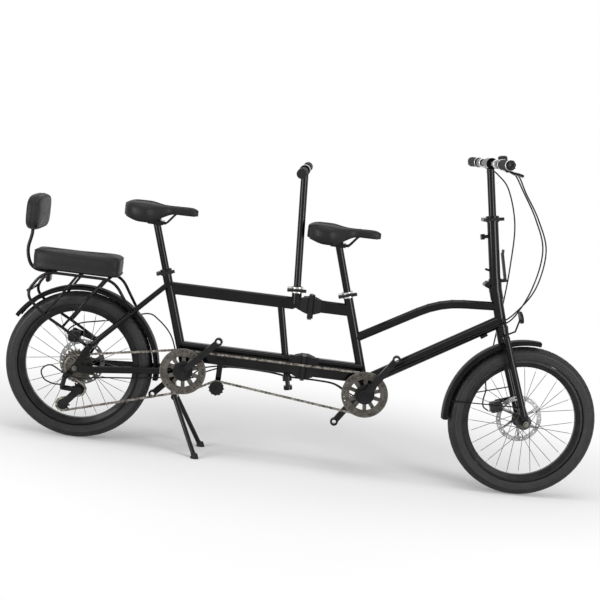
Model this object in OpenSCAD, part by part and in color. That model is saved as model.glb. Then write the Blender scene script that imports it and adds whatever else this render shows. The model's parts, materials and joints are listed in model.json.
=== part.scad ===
// Folding tandem bicycle with a frame that folds in the middle.
// +X points forward, +Y to the left, +Z up, and the ground is Z = 0.

/* [Wheels] */
// Distance between the axles
wheelbase = 1542; // [1520:1:1570]
// Outer radius of the tyres
tyre_r = 257; // [254:1:260]
// Radius of the tyre's round section
tyre_sec = 27; // [24:0.5:28]
// Wall of the tyres
tyre_wall = 4; // [2:0.5:6]
// Outer radius of the rims
rim_r = 212; // [210:0.5:214]
// Depth of the rims
rim_depth = 24; // [16:1:30]
// Width of the rims
rim_w = 30; // [24:1:36]
// Wall of the rims
rim_wall = 2.4; // [1.5:0.1:4]
// Spokes in a wheel
spoke_n = 28; // [20:4:36]
// Radius of a spoke
spoke_r = 1; // [0.8:0.1:1.3]
// Radius of the hub flanges
flange_r = 27; // [24:0.5:30]
// Radius of the axles
axle_r = 5; // [4:0.1:6]
// Radius of the brake rotors
rotor_r = 80; // [75:1:84]
// Thickness of the brake rotors
rotor_t = 1.8; // [1.5:0.1:2.2]

/* [Frame] */
// Height of the pedal axles
bb_z = 290; // [285:1:295]
// Place of the rear pedal axle
rear_bb_x = -403; // [-408:1:-398]
// Place of the front pedal axle
front_bb_x = 224; // [220:1:228]
// Outer radius of the bottom bracket shells
shell_r = 20; // [18:0.5:22]
// Width of the bottom bracket shells
shell_w = 68; // [66:1:70]
// Lean of both seat tubes
seat_lean = 17; // [16:0.5:18]
// How far both seat tubes reach past the middle of the upper tubes
seat_over = 63.5; // [62:0.5:66]
// Outer radius of the seat tubes
seat_tube_r = 16; // [15.5:0.1:17]
// Centre height of the upper tube
upper_z = 564; // [560:1:568]
// Height of the upper tube
upper_h = 42; // [36:1:46]
// Width of the upper tube
upper_w = 26; // [24:1:28]
// Centre height of the lower tube
lower_z = 351; // [348:1:354]
// Height of the lower tube
lower_h = 66; // [60:1:70]
// Width of the lower tube
lower_w = 40; // [36:1:44]
// Radius of the down tube
down_r = 21; // [19:0.5:23]
// Radius of the bent top tube
top_r = 15; // [13:0.5:17]
// Radius of the head tube
head_r = 19; // [18.5:0.5:21]
// Radius of the seat stays
stay_r = 9; // [8:0.5:10]
// Thickness of the dropout plates
drop_t = 6; // [5:0.5:7]

/* [Folding] */
// Place of the frame's fold line
fold_x = 4; // [2:1:6]
// Distance of the fold pin from the middle plane
fold_y = 34; // [33:0.5:36]
// Radius of the hinge barrels
barrel_r = 8.5; // [8:0.25:9]
// Radius of the hinge pins
pin_r = 4; // [3:0.25:5]
// Height of the hinge castings
cast_h = 81; // [79:1:84]
// Gap between the two faces of the fold
fold_gap = 0.6; // [0.4:0.1:1]

/* [Steering] */
// Lean of the head tube
head_lean = 17; // [16:0.5:18]
// Offset of the front axle from the steering axis
rake = 15.6; // [12:0.1:20]
// Angle of the front wheel to the left
steer_angle = 8.6; // [0:0.1:12]
// Height of the lower headset cup along the steering axis
cup_low = 323; // [321:1:326]
// Height of the upper headset cup along the steering axis
cup_top = 442; // [438:1:446]
// Radius of the steerer
steerer_r = 14.3; // [13:0.1:15]
// Distance of the fork legs from the middle plane
fork_y = 54; // [52:0.5:56]
// Radius of the fork legs
fork_r = 11; // [10:0.5:12]
// Forward lean of the handlepost from the steering axis
post_lean = 7; // [6:0.5:8]
// Outer radius of the handlepost
post_r = 19; // [18:0.5:20]
// Radius of the bar mast
mast_r = 13; // [12:0.1:15]
// Height of the handlebar above the handlepost hinge
bar_rise = 408; // [395:1:420]
// Half width of the handlebar
bar_half = 290; // [280:1:300]
// Radius of the handlebar
bar_r = 11.1; // [10:0.1:12]
// Radius of the grips
grip_r = 16.5; // [15:0.5:18]
// Length of the grips
grip_len = 120; // [110:1:130]

/* [Seats] */
// Radius of the seatposts
seatpost_r = 12.7; // [12:0.1:13.5]
// Length of the saddles
saddle_len = 252; // [245:1:260]
// Width of the saddles
saddle_w = 164; // [150:1:168]
// Height of the saddles' top
saddle_top = 850; // [844:1:860]
// Radius of the middle strut
strut_r = 12; // [11:0.25:13]
// Radius of the stoker post
stoker_r = 12.7; // [12:0.1:13.5]
// Height of the stoker bar
stoker_z = 1020; // [1005:1:1035]
// Half width of the stoker bar
stoker_half = 225; // [215:1:235]
// Radius of the support leg
leg_r = 8; // [7:0.1:8.5]

/* [Drive] */
// Teeth of the chainrings
ring_teeth = 36; // [34:1:38]
// Teeth of the cog in use
cog_teeth = 20; // [18:1:21]
// Length of a chain link
pitch = 12.7; // [12.5:0.05:12.9]
// Length of the crank arms
crank_len = 165; // [160:1:170]
// Angle of the rear right crank above forward
rear_crank_angle = 47; // [0:1:90]
// Angle of the front right crank above forward
front_crank_angle = 56; // [0:1:90]
// Radius of the crank spindles
spindle_r = 8.5; // [8:0.1:9]
// Distance of the drive chain from the middle plane
drive_y = 43.5; // [43:0.1:44]
// Distance of the timing chain from the middle plane
timing_y = 52.5; // [52:0.1:53]
// Distance of the cranks' inner faces from the middle plane
crank_y = 66; // [65:0.5:68]
// Radius of the pedal threads
pedal_r = 7.1; // [6.5:0.1:7.5]

/* [Rack] */
// Height of the rack's top rails
rack_z = 575; // [572:1:580]
// Radius of the rack's rods
rack_r = 5; // [4:0.25:6]
// Half width of the rack
rack_half = 70; // [66:1:74]
// Height of the rack pad
pad_h = 72; // [66:1:78]
// Half width of the rack pad
pad_half = 65; // [58:1:70]
// Half width of the backrest
back_half = 100; // [90:1:110]

/* [Hidden] */
// Clearance of shafts in their bores
fit = 0.05;
// Gap between pieces that lie against each other
gap = 0.3;
$fn = 48;

// Places that the sizes above give
rear_axle_p = [-wheelbase / 2, 0, tyre_r];
steer_n = -sin(steer_angle) * sin(head_lean);
wheel_z = (tyre_r - tyre_sec) * sqrt(1 - steer_n * steer_n) + tyre_sec;
steer_p = [wheelbase / 2 - rake * cos(head_lean), 0, wheel_z - rake * cos(steer_angle) * sin(head_lean)];
rear_bb = [rear_bb_x, 0, bb_z];
front_bb = [front_bb_x, 0, bb_z];
ring_r = pitch / 2 / sin(180 / ring_teeth);
cog_r = pitch / 2 / sin(180 / cog_teeth);
rear_in = 67.5;
front_in = fork_y - drop_t / 2;
upper_bot = upper_z - cast_h / 2;
lower_bot = lower_z - cast_h / 2;
seat_tube_len = (upper_z - bb_z) / cos(seat_lean) + seat_over;
seat_top_z = bb_z + seat_tube_len * cos(seat_lean);
bore_r = seatpost_r + fit;
black = [0.06, 0.06, 0.07];
dark = [0.13, 0.13, 0.14];
silver = [0.75, 0.76, 0.78];

// A point on a seat tube's line, at a distance from its pedal axle
function on_seat(bb, d) = bb + d * [-sin(seat_lean), 0, cos(seat_lean)];
// The distance along a seat tube at which it has a height
function seat_at(z) = (z - bb_z) / cos(seat_lean);
// A point on the steering axis of the frame
function on_head(d) = steer_p + d * [-sin(head_lean), 0, cos(head_lean)];
function side(p, y) = [p.x, y, p.z];

// A round bar between two points
module rod(p, q, r) {
    v = q - p;
    span = norm(v);
    translate(p) rotate([0, acos(v.z / span), atan2(v.y, v.x)]) cylinder(h = span, r = r);
}
// A round bar through points, with a ball at each bend
module bent(pts, r) {
    for (i = [1 : len(pts) - 1]) rod(pts[i - 1], pts[i], r);
    if (len(pts) > 2) for (i = [1 : len(pts) - 2]) translate(pts[i]) sphere(r * 1.03);
}
// A round bar along Y, centred at a height and a place
module cross(x, z, y0, y1, r) {
    translate([x, y0, z]) rotate([-90, 0, 0]) cylinder(h = y1 - y0, r = r);
}
// A plate in the X-Z plane between two values of Y
module plate(y0, y1) {
    translate([0, y1, 0]) rotate([90, 0, 0]) linear_extrude(y1 - y0) children();
}
// A turned piece about an axis along Y
module turned() {
    rotate([-90, 0, 0]) rotate_extrude() children();
}
// A bar of rounded oblong section along X
module box_tube(x0, x1, z, h, w, r) {
    translate([x0, 0, z]) rotate([90, 0, 90]) linear_extrude(x1 - x0) oblong(w, h, r);
}
module oblong(w, h, r) {
    square([w - 2 * r, h], center = true);
    square([w, h - 2 * r], center = true);
    for (i = [-1, 1], j = [-1, 1]) translate([i * (w / 2 - r), j * (h / 2 - r)]) circle(r);
}
// A flat bar with round ends between two points of a plane
module slat(p, q, r) {
    v = q - p;
    translate(p) rotate(atan2(v.y, v.x)) translate([0, -0.96 * r]) square([norm(v), 1.92 * r]);
    translate(p) circle(r);
    translate(q) circle(r);
}
module mirrored() {
    children();
    mirror([0, 1, 0]) children();
}
module steered() {
    translate(steer_p) rotate([0, -head_lean, 0]) rotate([0, 0, steer_angle]) children();
}
// A soft tube swept along points, with 8 sides
function unit(v) = v / norm(v);
function tan_at(p, i) = unit(p[min(i + 1, len(p) - 1)] - p[max(i - 1, 0)]);
function ring_at(c, t, r) = let (u = unit(cross(t, abs(t.y) < 0.9 ? [0, 1, 0] : [1, 0, 0])), v = cross(t, u))
    [for (k = [0 : 7]) c + r * (cos(45 * k) * u + sin(45 * k) * v)];
function curve(p, n) = [for (i = [0 : len(p) - 2]) for (k = [0 : n - 1])
    let (a = p[max(i - 1, 0)], b = p[i], c = p[i + 1], d = p[min(i + 2, len(p) - 1)], t = k / n)
    0.5 * (2 * b + (c - a) * t + (2 * a - 5 * b + 4 * c - d) * t * t + (3 * b - a - 3 * c + d) * t * t * t),
    p[len(p) - 1]];
module cable(route, r, n = 3) {
    p = curve(route, n);
    m = len(p);
    rings = [for (i = [0 : m - 1]) each ring_at(p[i], tan_at(p, i), r)];
    faces = [[for (k = [0 : 7]) k], [for (k = [7 : -1 : 0]) (m - 1) * 8 + k],
        for (i = [0 : m - 2], k = [0 : 7]) each [
            [i * 8 + k, (i + 1) * 8 + k, (i + 1) * 8 + (k + 1) % 8],
            [i * 8 + k, (i + 1) * 8 + (k + 1) % 8, i * 8 + (k + 1) % 8]]];
    polyhedron(rings, faces);
}

// Wheels, drawn about their own axis along Y
module tyre() {
    turned() difference() {
        translate([tyre_r - tyre_sec, 0]) circle(tyre_sec);
        translate([tyre_r - tyre_sec, 0]) circle(tyre_sec - tyre_wall);
        translate([0, -tyre_sec]) square([rim_r + fit, 2 * tyre_sec]);
    }
}
module rim() {
    s = rim_w / 2;
    d = rim_r - rim_depth;
    turned() difference() {
        polygon([[rim_r, s], [rim_r - 8, s], [d, s / 2], [d, -s / 2], [rim_r - 8, -s], [rim_r, -s]]);
        polygon([[rim_r + 1, s - rim_wall], [rim_r - 8, s - rim_wall], [d + rim_wall, s / 2 - rim_wall],
            [d + rim_wall, rim_wall - s / 2], [rim_r - 8, rim_wall - s], [rim_r + 1, rim_wall - s]]);
    }
}
// Hub with its flanges, spokes and brake rotor
module hub(y_left, y_right, end_left, end_right, y_rotor) {
    difference() {
        union() {
            mirror([0, 1, 0]) turned() polygon([[0, -end_left], [10, -end_left], [10, -y_rotor - 4],
                [22, -y_rotor - 4], [22, -y_rotor + 1], [14, -y_rotor + 1], [14, -y_left - 3],
                [flange_r, -y_left - 3], [flange_r, -y_left], [15, 3 - y_left], [15, y_right - 3],
                [flange_r, y_right], [flange_r, y_right + 3], [11, y_right + 3], [11, end_right],
                [0, end_right]]);
            for (i = [0 : spoke_n - 1]) spoke(i, i % 2 == 0 ? y_left + 1.5 : -y_right - 1.5);
            rotor(y_rotor);
        }
        cross(0, 0, -end_right - 1, end_left + 1, axle_r + fit);
    }
}
module spoke(i, y) {
    a = 360 * i / spoke_n;
    out = floor(i / 2) % 2 == 0 ? 1 : -1;
    f = a + out * 55;
    rf = flange_r - 4;
    yf = y + out * 3.2;
    rod([rf * cos(f), yf, rf * sin(f)],
        [(rim_r - rim_depth - gap) * cos(a), sign(y) * 2, (rim_r - rim_depth - gap) * sin(a)], spoke_r);
    cross(rf * cos(f), rf * sin(f), y - 4.4, y + 4.4, 1.6);
}
module rotor(y) {
    rotate([0, 0, 0]) plate(y - rotor_t / 2, y + rotor_t / 2) difference() {
        union() {
            difference() {
                circle(rotor_r);
                circle(rotor_r - 16);
            }
            for (i = [0 : 5]) rotate(60 * i) slat([18, 0], (rotor_r - 12) * [cos(20), sin(20)], 4);
            circle(22);
        }
        for (i = [0 : 17]) rotate(20 * i + 8) translate([rotor_r - 8, 0]) circle(3);
    }
}
// Frame
strut_top = [-101, 0, upper_z];
strut_dir = unit([33.5, 0, -164]);
function on_strut(z) = strut_top + (strut_top.z - z) / -strut_dir.z * strut_dir;
stoker_foot = [-47, 0, upper_z];
stoker_dir = [-sin(3), 0, cos(3)];
function on_stoker(z) = stoker_foot + (z - upper_z) / cos(3) * stoker_dir;
stay_top = on_seat(rear_bb, seat_at(577));
stay_end = rear_axle_p + [42, 0, 80];
chain_end = rear_axle_p + [58, 0, 0];
stand_p = [rear_bb_x - 24, 0, bb_z - 100];
collar_h = 20;
socket_top = upper_z + upper_h / 2 + 36;
sleeve_low = lower_z - lower_h / 2 - 24;
bridge_r = 6;
bridge_p = [rear_bb_x - 183, 0, bb_z + 196];
top_bend = [440, 0, 628];
top_foot = on_seat(front_bb, seat_at(470));
top_end = on_head(cup_top - 36);
// A place in the rounded bend of the top tube
function toward(p) = top_bend + 80 * (p - top_bend) / norm(p - top_bend);
function rounded(u) = pow(1 - u, 2) * toward(top_foot) + 2 * u * (1 - u) * top_bend
    + u * u * toward(top_end);

// A bar of oblong section between two points
module oblong_bar(p, q, h, w) {
    v = q - p;
    translate(p) rotate([0, acos(v.z / norm(v)), atan2(v.y, v.x)]) linear_extrude(norm(v))
        slat([(w - h) / 2, 0], [(h - w) / 2, 0], w / 2);
}
// One half of a fold casting: s is -1 for the rear half and 1 for the front half
flange = 7;
module casting(z, h, w, s) {
    x0 = fold_x + s * fold_gap / 2;
    y0 = fold_y - barrel_r - gap;
    hull() {
        translate([min(x0, x0 + s * 12), -y0, z - h / 2 - flange]) cube([12, 2 * y0, h + 2 * flange]);
        translate([x0 + s * 34 - 1, -w / 2, z - h / 2]) cube([2, w, h]);
    }
}
// A hinge knuckle with its web
module knuckle(z0, z1, s) {
    translate([fold_x, -fold_y, z0]) cylinder(h = z1 - z0, r = barrel_r);
    translate([min(fold_x + s * fold_gap / 2, fold_x + s * 11.5), -fold_y, z0])
        cube([11.5 - fold_gap / 2, 14, z1 - z0]);
}
module knuckles(z, s) {
    t = cast_h / 4;
    if (s < 0) knuckle(z - t + gap, z + t - gap, s);
    if (s > 0) for (k = [-1, 1]) knuckle(z + k * 1.5 * t - t / 2, z + k * 1.5 * t + t / 2, s);
}
module pin_bore(z) {
    translate([fold_x, -fold_y, z - cast_h]) cylinder(h = 2 * cast_h, r = pin_r + fit);
}
module seat_bore(bb) {
    rod(on_seat(bb, 100), on_seat(bb, seat_tube_len + 5), bore_r);
}
module shell_bore(bb) {
    cross(bb.x, bb.z, -shell_w, shell_w, spindle_r + fit);
}
module rear_main_frame() color(black) difference() {
    union() {
        rod(rear_bb, on_seat(rear_bb, seat_tube_len), seat_tube_r);
        cross(rear_bb.x, bb_z, -shell_w / 2, shell_w / 2, shell_r);
        box_tube(on_seat(rear_bb, seat_at(upper_z)).x, fold_x - 33, upper_z, upper_h, upper_w, 9);
        box_tube(on_seat(rear_bb, seat_at(lower_z)).x, fold_x - 33, lower_z, lower_h, lower_w, 12);
        rod(strut_top, on_strut(sleeve_low), strut_r);
        rod(stoker_foot, on_stoker(socket_top), strut_r + 5);
        casting(upper_z, upper_h, upper_w, -1);
        casting(lower_z, lower_h, lower_w, -1);
        knuckles(upper_z, -1);
        knuckles(lower_z, -1);
        latch_ears(upper_z);
        latch_ears(lower_z);
    }
    seat_bore(rear_bb);
    shell_bore(rear_bb);
    rod(on_strut(upper_z - upper_h / 2 - 8), on_strut(lower_z - lower_h), leg_r + fit);
    rod(on_stoker(upper_z - upper_h), on_stoker(socket_top + 5), stoker_r + fit);
    pin_bore(upper_z);
    pin_bore(lower_z);
}
module front_main_frame() color(black) {
    mid = on_seat(front_bb, seat_at(lower_z));
    difference() {
        union() {
            rod(front_bb, on_seat(front_bb, seat_tube_len), seat_tube_r);
            cross(front_bb.x, bb_z, -shell_w / 2, shell_w / 2, shell_r);
            box_tube(fold_x + 33, on_seat(front_bb, seat_at(upper_z)).x, upper_z, upper_h, upper_w, 9);
            box_tube(fold_x + 33, mid.x, lower_z, lower_h, lower_w, 12);
            bent(concat([top_foot], [for (u = [0 : 0.25 : 1]) rounded(u)], [top_end]), top_r);
            rod(on_seat(front_bb, seat_at(322)), on_head(cup_low + 32), down_r);
            rod(on_head(cup_low + 8), on_head(cup_top - 8), head_r);
            rod(on_head(cup_low), on_head(cup_low + 12), head_r + 3);
            rod(on_head(cup_top - 12), on_head(cup_top), head_r + 3);
            casting(upper_z, upper_h, upper_w, 1);
            casting(lower_z, lower_h, lower_w, 1);
            knuckles(upper_z, 1);
            knuckles(lower_z, 1);
            translate([602, 0, 535]) rotate([0, 56, 0]) for (k = [-7, 7]) translate([0, k, 0])
                cylinder(h = 26, r = 6.5, center = true);
        }
        seat_bore(front_bb);
        shell_bore(front_bb);
        rod(on_head(cup_low - 5), on_head(cup_top + 5), steerer_r + fit);
        pin_bore(upper_z);
        pin_bore(lower_z);
    }
}
module fold_pins() color(silver) for (z = [upper_z, lower_z]) translate([fold_x, -fold_y, z - cast_h / 2]) {
    translate([0, 0, -4]) cylinder(h = cast_h + 8, r = pin_r);
    translate([0, 0, -4]) cylinder(h = 4 - fit, r = barrel_r - 1.5);
    translate([0, 0, cast_h + fit]) cylinder(h = 4 - fit, r = barrel_r - 1.5);
}
// Stays, dropouts, hanger and the stand's bracket
module rear_stays() color(black) difference() {
    union() {
        mirrored() {
            rod(side(stay_top, 24), side(stay_end, rear_in - 6), stay_r);
            oblong_bar([rear_bb_x - 32, 30, bb_z - 8], side(chain_end, rear_in - 5), 24, 14);
            plate(rear_in, rear_in + drop_t) {
                slat([rear_axle_p.x, rear_axle_p.z], [chain_end.x, chain_end.z], 14);
                slat([rear_axle_p.x, rear_axle_p.z], [stay_end.x, stay_end.z], 12);
            }
        }
        cross(stay_top.x, stay_top.z, -30, 30, 11);
        cross(bridge_p.x, bridge_p.z, -38, 38, bridge_r);
        plate(-30, 30) translate([rear_bb_x - 50, bb_z - 10]) oblong(17, 15, 4);
        plate(-12, 12) slat([rear_bb_x - 50, bb_z - 10], [stand_p.x, stand_p.z], 11);
        plate(rear_in, rear_in + drop_t)
            slat([stay_end.x, stay_end.z], [rear_axle_p.x - 40, rear_axle_p.z + 104], 9);
        plate(-rear_in - drop_t, -rear_in)
            slat([rear_axle_p.x, rear_axle_p.z], [rear_axle_p.x - 30, rear_axle_p.z - 32], 11);
    }
    rod(rear_bb, on_seat(rear_bb, seat_tube_len), seat_tube_r + fit);
    cross(rear_bb_x, bb_z, -50, 50, shell_r + fit);
    cross(rear_axle_p.x, rear_axle_p.z, -100, 100, axle_r + fit);
    cross(stand_p.x, stand_p.z, -40, 40, 6 + fit);
    box_tube(stay_top.x, 0, upper_z, upper_h + 2 * fit, upper_w + 2 * fit, 9);
    box_tube(on_seat(rear_bb, seat_at(lower_z)).x, 0, lower_z, lower_h + 2 * fit, lower_w + 2 * fit, 12);
}
module axle(inner) color(silver) {
    cross(0, 0, -inner - drop_t - 14, inner + drop_t + 14, axle_r);
    mirrored() cross(0, 0, inner + drop_t + fit, inner + drop_t + 9, axle_r + 4.5);
}
module rear_axle() translate(rear_axle_p) axle(rear_in);
// Kickstand with two legs and rubber feet
module kickstand() color(black) translate(stand_p) {
    cross(0, 0, -27, 27, 6);
    mirrored() {
        cross(0, 0, 12 + gap, 28, 11);
        rod([0, 20, 0], [92, 79, 15 - stand_p.z], 8);
        rod([92, 79, 15 - stand_p.z], [97, 84, 6 - stand_p.z], 9);
        translate([99, 86, -stand_p.z]) cylinder(h = 16, r1 = 15, r2 = 9);
    }
}
// Rack
pad_x0 = -958;
pad_x1 = -656;
rack_eye = [stay_end.x - 6, rear_in + drop_t + rack_r + 3 * gap, stay_end.z + 2];
module rear_rack() color(black) {
    y = rack_half;
    mirrored() {
        bent([[-600, 57, 470], [-668, y, rack_z], [-909, y, rack_z], [-968, y, 490], [-893, y + 5, 427],
            [-826, y + 8.5, 393], rack_eye], rack_r);
        rod([-794, y, rack_z], [-892, y + 5, 428], rack_r - 1);
        rod([-698, y, rack_z], [-827, y + 8, 394], rack_r - 1);
        cross(rack_eye.x, rack_eye.z, rear_in + drop_t + gap, rear_in + drop_t + 14, 7);
        cross(-600, 467, 52.4, 61, 6);
    }
    for (x = [-690, -790, -880, -909]) cross(x, rack_z, -y, y, rack_r);
    cross(-968, 490, -y, y, rack_r);
    bent([[-900, 0, rack_z - 8], [-968, 0, rack_z - 6], [-990, 0, 632], [-976, 0, 688], [-976, 0, 709.2]],
        rack_r + 1);
    plate(-20, 20) slat([-905, 540], [-905, 556], 8);
    rod([-905, 0, 550], [-909, 0, rack_z], rack_r);
}
// A cushion made of rings: a bottom, drawn-in sides and a crowned top
function oval(c, a, b, n, z, e) = [for (k = [0 : n - 1]) let (t = 360 * k / n, x = cos(t), y = sin(t))
    [c.x + a * sign(x) * pow(abs(x), e), c.y + b * sign(y) * pow(abs(y), e), z]];
module skin(rings) {
    m = len(rings);
    n = len(rings[0]);
    polyhedron([for (r = rings) each r], [[for (k = [0 : n - 1]) k],
        [for (k = [n - 1 : -1 : 0]) (m - 1) * n + k],
        for (i = [0 : m - 2], k = [0 : n - 1]) each [
            [i * n + k, (i + 1) * n + k, (i + 1) * n + (k + 1) % n],
            [i * n + k, (i + 1) * n + (k + 1) % n, i * n + (k + 1) % n]]]);
}
pad_z = rack_z + rack_r + gap;
module rack_pad() color(dark) {
    c = [(pad_x0 + pad_x1) / 2, 0];
    a = (pad_x1 - pad_x0) / 2;
    skin([for (s = [[0, -5], [0.1, -1.5], [0.18, -3.5], [0.35, -0.6], [0.55, 0], [0.72, -1.5], [0.85, -6],
        [0.93, -15], [0.98, -32], [1, -52]])
        oval(c, a + s[1], pad_half + s[1], 48, pad_z + s[0] * pad_h, 0.35)]);
}
module backrest_pad() color(dark) translate([-959, 0, 770]) rotate([0, 90, 0])
    skin([for (s = [[-27, -12], [-24, -5], [-16, -1], [-4, 0], [0, -1.5], [4, 0], [13, -3], [19, -9],
        [24, -22], [26.5, -38]])
        oval([0, 0], 61 + s[1], back_half + s[1], 48, s[0], 0.55)]);
guard = [[17, -27], [21.5, -20], [23, 0], [21.5, 20], [17, 27], [15.6, 26.4], [19.9, 19.4],
    [21.4, 0], [19.9, -19.4], [15.6, -26.4]];
module mudguard(a0, a1) {
    rotate([90, 0, 0]) rotate([0, 0, a0]) rotate_extrude(angle = a1 - a0)
        translate([tyre_r, 0]) polygon(guard);
}
module rear_mudguard() color(black) translate(rear_axle_p) {
    mudguard(-4, 147);
    v = bridge_p - rear_axle_p;
    rotate([0, -atan2(v.z, v.x), 0]) translate([tyre_r + 22, -8, -6])
        cube([norm(v) - bridge_r - gap - tyre_r - 22, 16, 12]);
}
// Brakes: a caliper straddles the rotor, drawn about the wheel's axis
module caliper(c, yr, deep, lug, seat_y) {
    difference() {
        union() {
            translate([c.x, 0, c.y]) plate(yr - deep, yr + 12) oblong(42, 38, 8);
            cross(c.x + lug.x, c.y + lug.y, yr + 5, seat_y - gap, 6);
        }
        cross(0, 0, yr - rotor_t / 2 - 0.9, yr + rotor_t / 2 + 0.9, rotor_r + 3);
        cross(c.x, c.y, yr + 6, yr + 13, 4 + fit);
    }
}
module caliper_arm(c, tip, y) {
    plate(y, y + 4) slat([c.x, c.y], [c.x + tip.x, c.y + tip.y], 6);
    cross(c.x, c.y, y - 4.5, y + 1, 4);
}
rear_rotor_y = 50;
front_rotor_y = 38;
rear_cal = [-34, 88];
front_cal = [-72, 57];
cal_lug = [-6, 16];
arm_gap = 12 + gap;
module rear_caliper() color(dark) translate(rear_axle_p)
    caliper(rear_cal, rear_rotor_y, 18, cal_lug, rear_in);
module rear_caliper_arm() color(silver) translate(rear_axle_p)
    caliper_arm(rear_cal, [-30, -8], rear_rotor_y + arm_gap);
module wheeled() steered() translate([rake, 0, 0]) children();
module front_caliper() color(dark) wheeled() caliper(front_cal, front_rotor_y, 10, [8, 14], fork_y - 2);
module front_caliper_arm() color(silver) wheeled()
    caliper_arm(front_cal, [-22, -18], front_rotor_y + arm_gap);
// Wheels in their places
module rear_tyre() color(dark) translate(rear_axle_p) tyre();
module rear_rim() color(dark) translate(rear_axle_p) rim();
module rear_hub() color(silver) translate(rear_axle_p) hub(32, 18, rear_in - 0.5, 24, rear_rotor_y);
module front_tyre() color(dark) wheeled() tyre();
module front_rim() color(dark) wheeled() rim();
module front_hub() color(silver) wheeled() hub(28, 28, front_in - 0.5, front_in - 0.5, front_rotor_y);
module front_axle() wheeled() axle(front_in);

// Clamp collars and quick-release levers, drawn about a tube along Z
module collar(r) difference() {
    union() {
        cylinder(h = collar_h, r = r + 4);
        translate([-r - 16, -r - 3.7, 4]) cube([16, 2 * r + 7.7, collar_h - 8]);
        translate([-r - 10, r + 3, collar_h / 2]) rotate([-90, 0, 0]) cylinder(h = 6, r = 5.5);
    }
    translate([0, 0, -1]) cylinder(h = collar_h + 2, r = r + fit);
}
module qr(r) translate([-r - 10, -r - 9, collar_h / 2]) {
    cylinder(h = 11, r = 5, center = true);
    linear_extrude(9, center = true) slat([0, 0], [r + 30, -2], 2.6);
    linear_extrude(11, center = true) slat([r + 24, -1.6], [r + 40, -3], 3.4);
}
// Places a piece on a tube that runs from p towards q, with its X axis forward
module along(p, dir) {
    translate(p) rotate([0, atan2(dir.x, dir.z), 0]) children();
}
seat_dir = [-sin(seat_lean), 0, cos(seat_lean)];
module rear_collars() color(silver) {
    along(collar_p(rear_bb), seat_dir) collar(seat_tube_r);
    along(on_stoker(socket_top - collar_h + 1), stoker_dir) collar(strut_r + 5);
    along(on_strut(sleeve_low - 1), -strut_dir) difference() {
        union() {
            cylinder(h = collar_h - 4, r = strut_r + 4);
            translate([0, 0, (collar_h - 4) / 2]) rotate([90, 0, 0]) cylinder(h = strut_r + 12, r = 4);
            translate([0, -strut_r - 9, 0]) cube([8, 6, 44], center = true);
        }
        translate([0, 0, -1]) cylinder(h = collar_h, r = strut_r + fit);
        translate([-4, -strut_r - 4, -30]) cube([8, 8, 29.9]);
    }
}
function collar_p(bb) = on_seat(bb, seat_tube_len - collar_h + 1);
module front_collar() color(silver) along(collar_p(front_bb), seat_dir) collar(seat_tube_r);
module rear_seat_qr() color(silver) along(collar_p(rear_bb), seat_dir) qr(seat_tube_r);
module front_seat_qr() color(silver) along(collar_p(front_bb), seat_dir) qr(seat_tube_r);
module stoker_qr() color(silver) along(on_stoker(socket_top - collar_h + 1), stoker_dir) qr(strut_r + 5);
// Fold latches lie along the left faces of the castings
latch_x = fold_x - 22;
latch_y = fold_y - barrel_r - gap + 9;
module fold_latch(z) color(black) translate([latch_x, latch_y, z]) {
    cylinder(h = 30, r = 6, center = true);
    linear_extrude(24, center = true) slat([0, 0], [48, -4], 3.6);
    linear_extrude(16, center = true) slat([44, -3.6], [70, 2], 3.2);
    cylinder(h = 38, r = 3, center = true);
}
module latch_ears(z) for (k = [-1, 1]) translate([latch_x, latch_y, z + k * 20]) difference() {
    union() {
        cylinder(h = 8, r = 6, center = true);
        translate([-6, -24, -4]) cube([12, 24, 8]);
    }
    cylinder(h = 9, r = 3 + fit, center = true);
}
module upper_fold_latch() fold_latch(upper_z);
module lower_fold_latch() fold_latch(lower_z);

// Seats
saddle_drop = 62;
saddle_set = 0.438;
function clamp_d(top) = seat_at(top - saddle_drop);
module seatpost(bb) color(black) {
    d = clamp_d(saddle_top);
    c = on_seat(bb, d);
    rod(on_seat(bb, seat_tube_len - 115), on_seat(bb, d - 8), seatpost_r);
    difference() {
        translate([c.x - 26, -22, c.z - 12]) cube([52, 44, 14]);
        mirrored() rod([c.x - 40, 17, c.z - 6], [c.x + 40, 17, c.z - 6], rail_r + fit);
    }
    translate([c.x - 16, -14, c.z + 1]) cube([32, 28, 6]);
}
// Saddle: rear part wide, long nose, a crown, drawn-in sides and a channel along the middle
function half_w(t) = t < 0.30 ? saddle_w / 2 * sqrt(max(0, 1 - pow((0.30 - t) / 0.30, 2.6)))
    : t < 0.68 ? saddle_w / 2 * (0.62 + 0.38 * cos(180 * (t - 0.30) / 0.38)) + 0
    : max(0.24 * saddle_w / 2, 20) * sqrt(max(0, 1 - pow((t - 0.68) / 0.32, 4)));
function saddle_half(t) = max(half_w(t), 3);
function ease(u) = let (v = min(1, max(0, u))) v * v * (3 - 2 * v);
function crown(t) = saddle_top - 12 * pow(max(0, 0.13 - t) / 0.13, 2) - 4 * ease((t - 0.3) / 0.25)
    - 2.5 * sin(180 * min(1, max(0, t - 0.35) / 0.45)) - 9 * pow(max(0, t - 0.9) / 0.1, 2);
function skirt(t) = saddle_top - 52 - 12 * ease(t / 0.25) + 32 * ease((t - 0.34) / 0.36);
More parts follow.
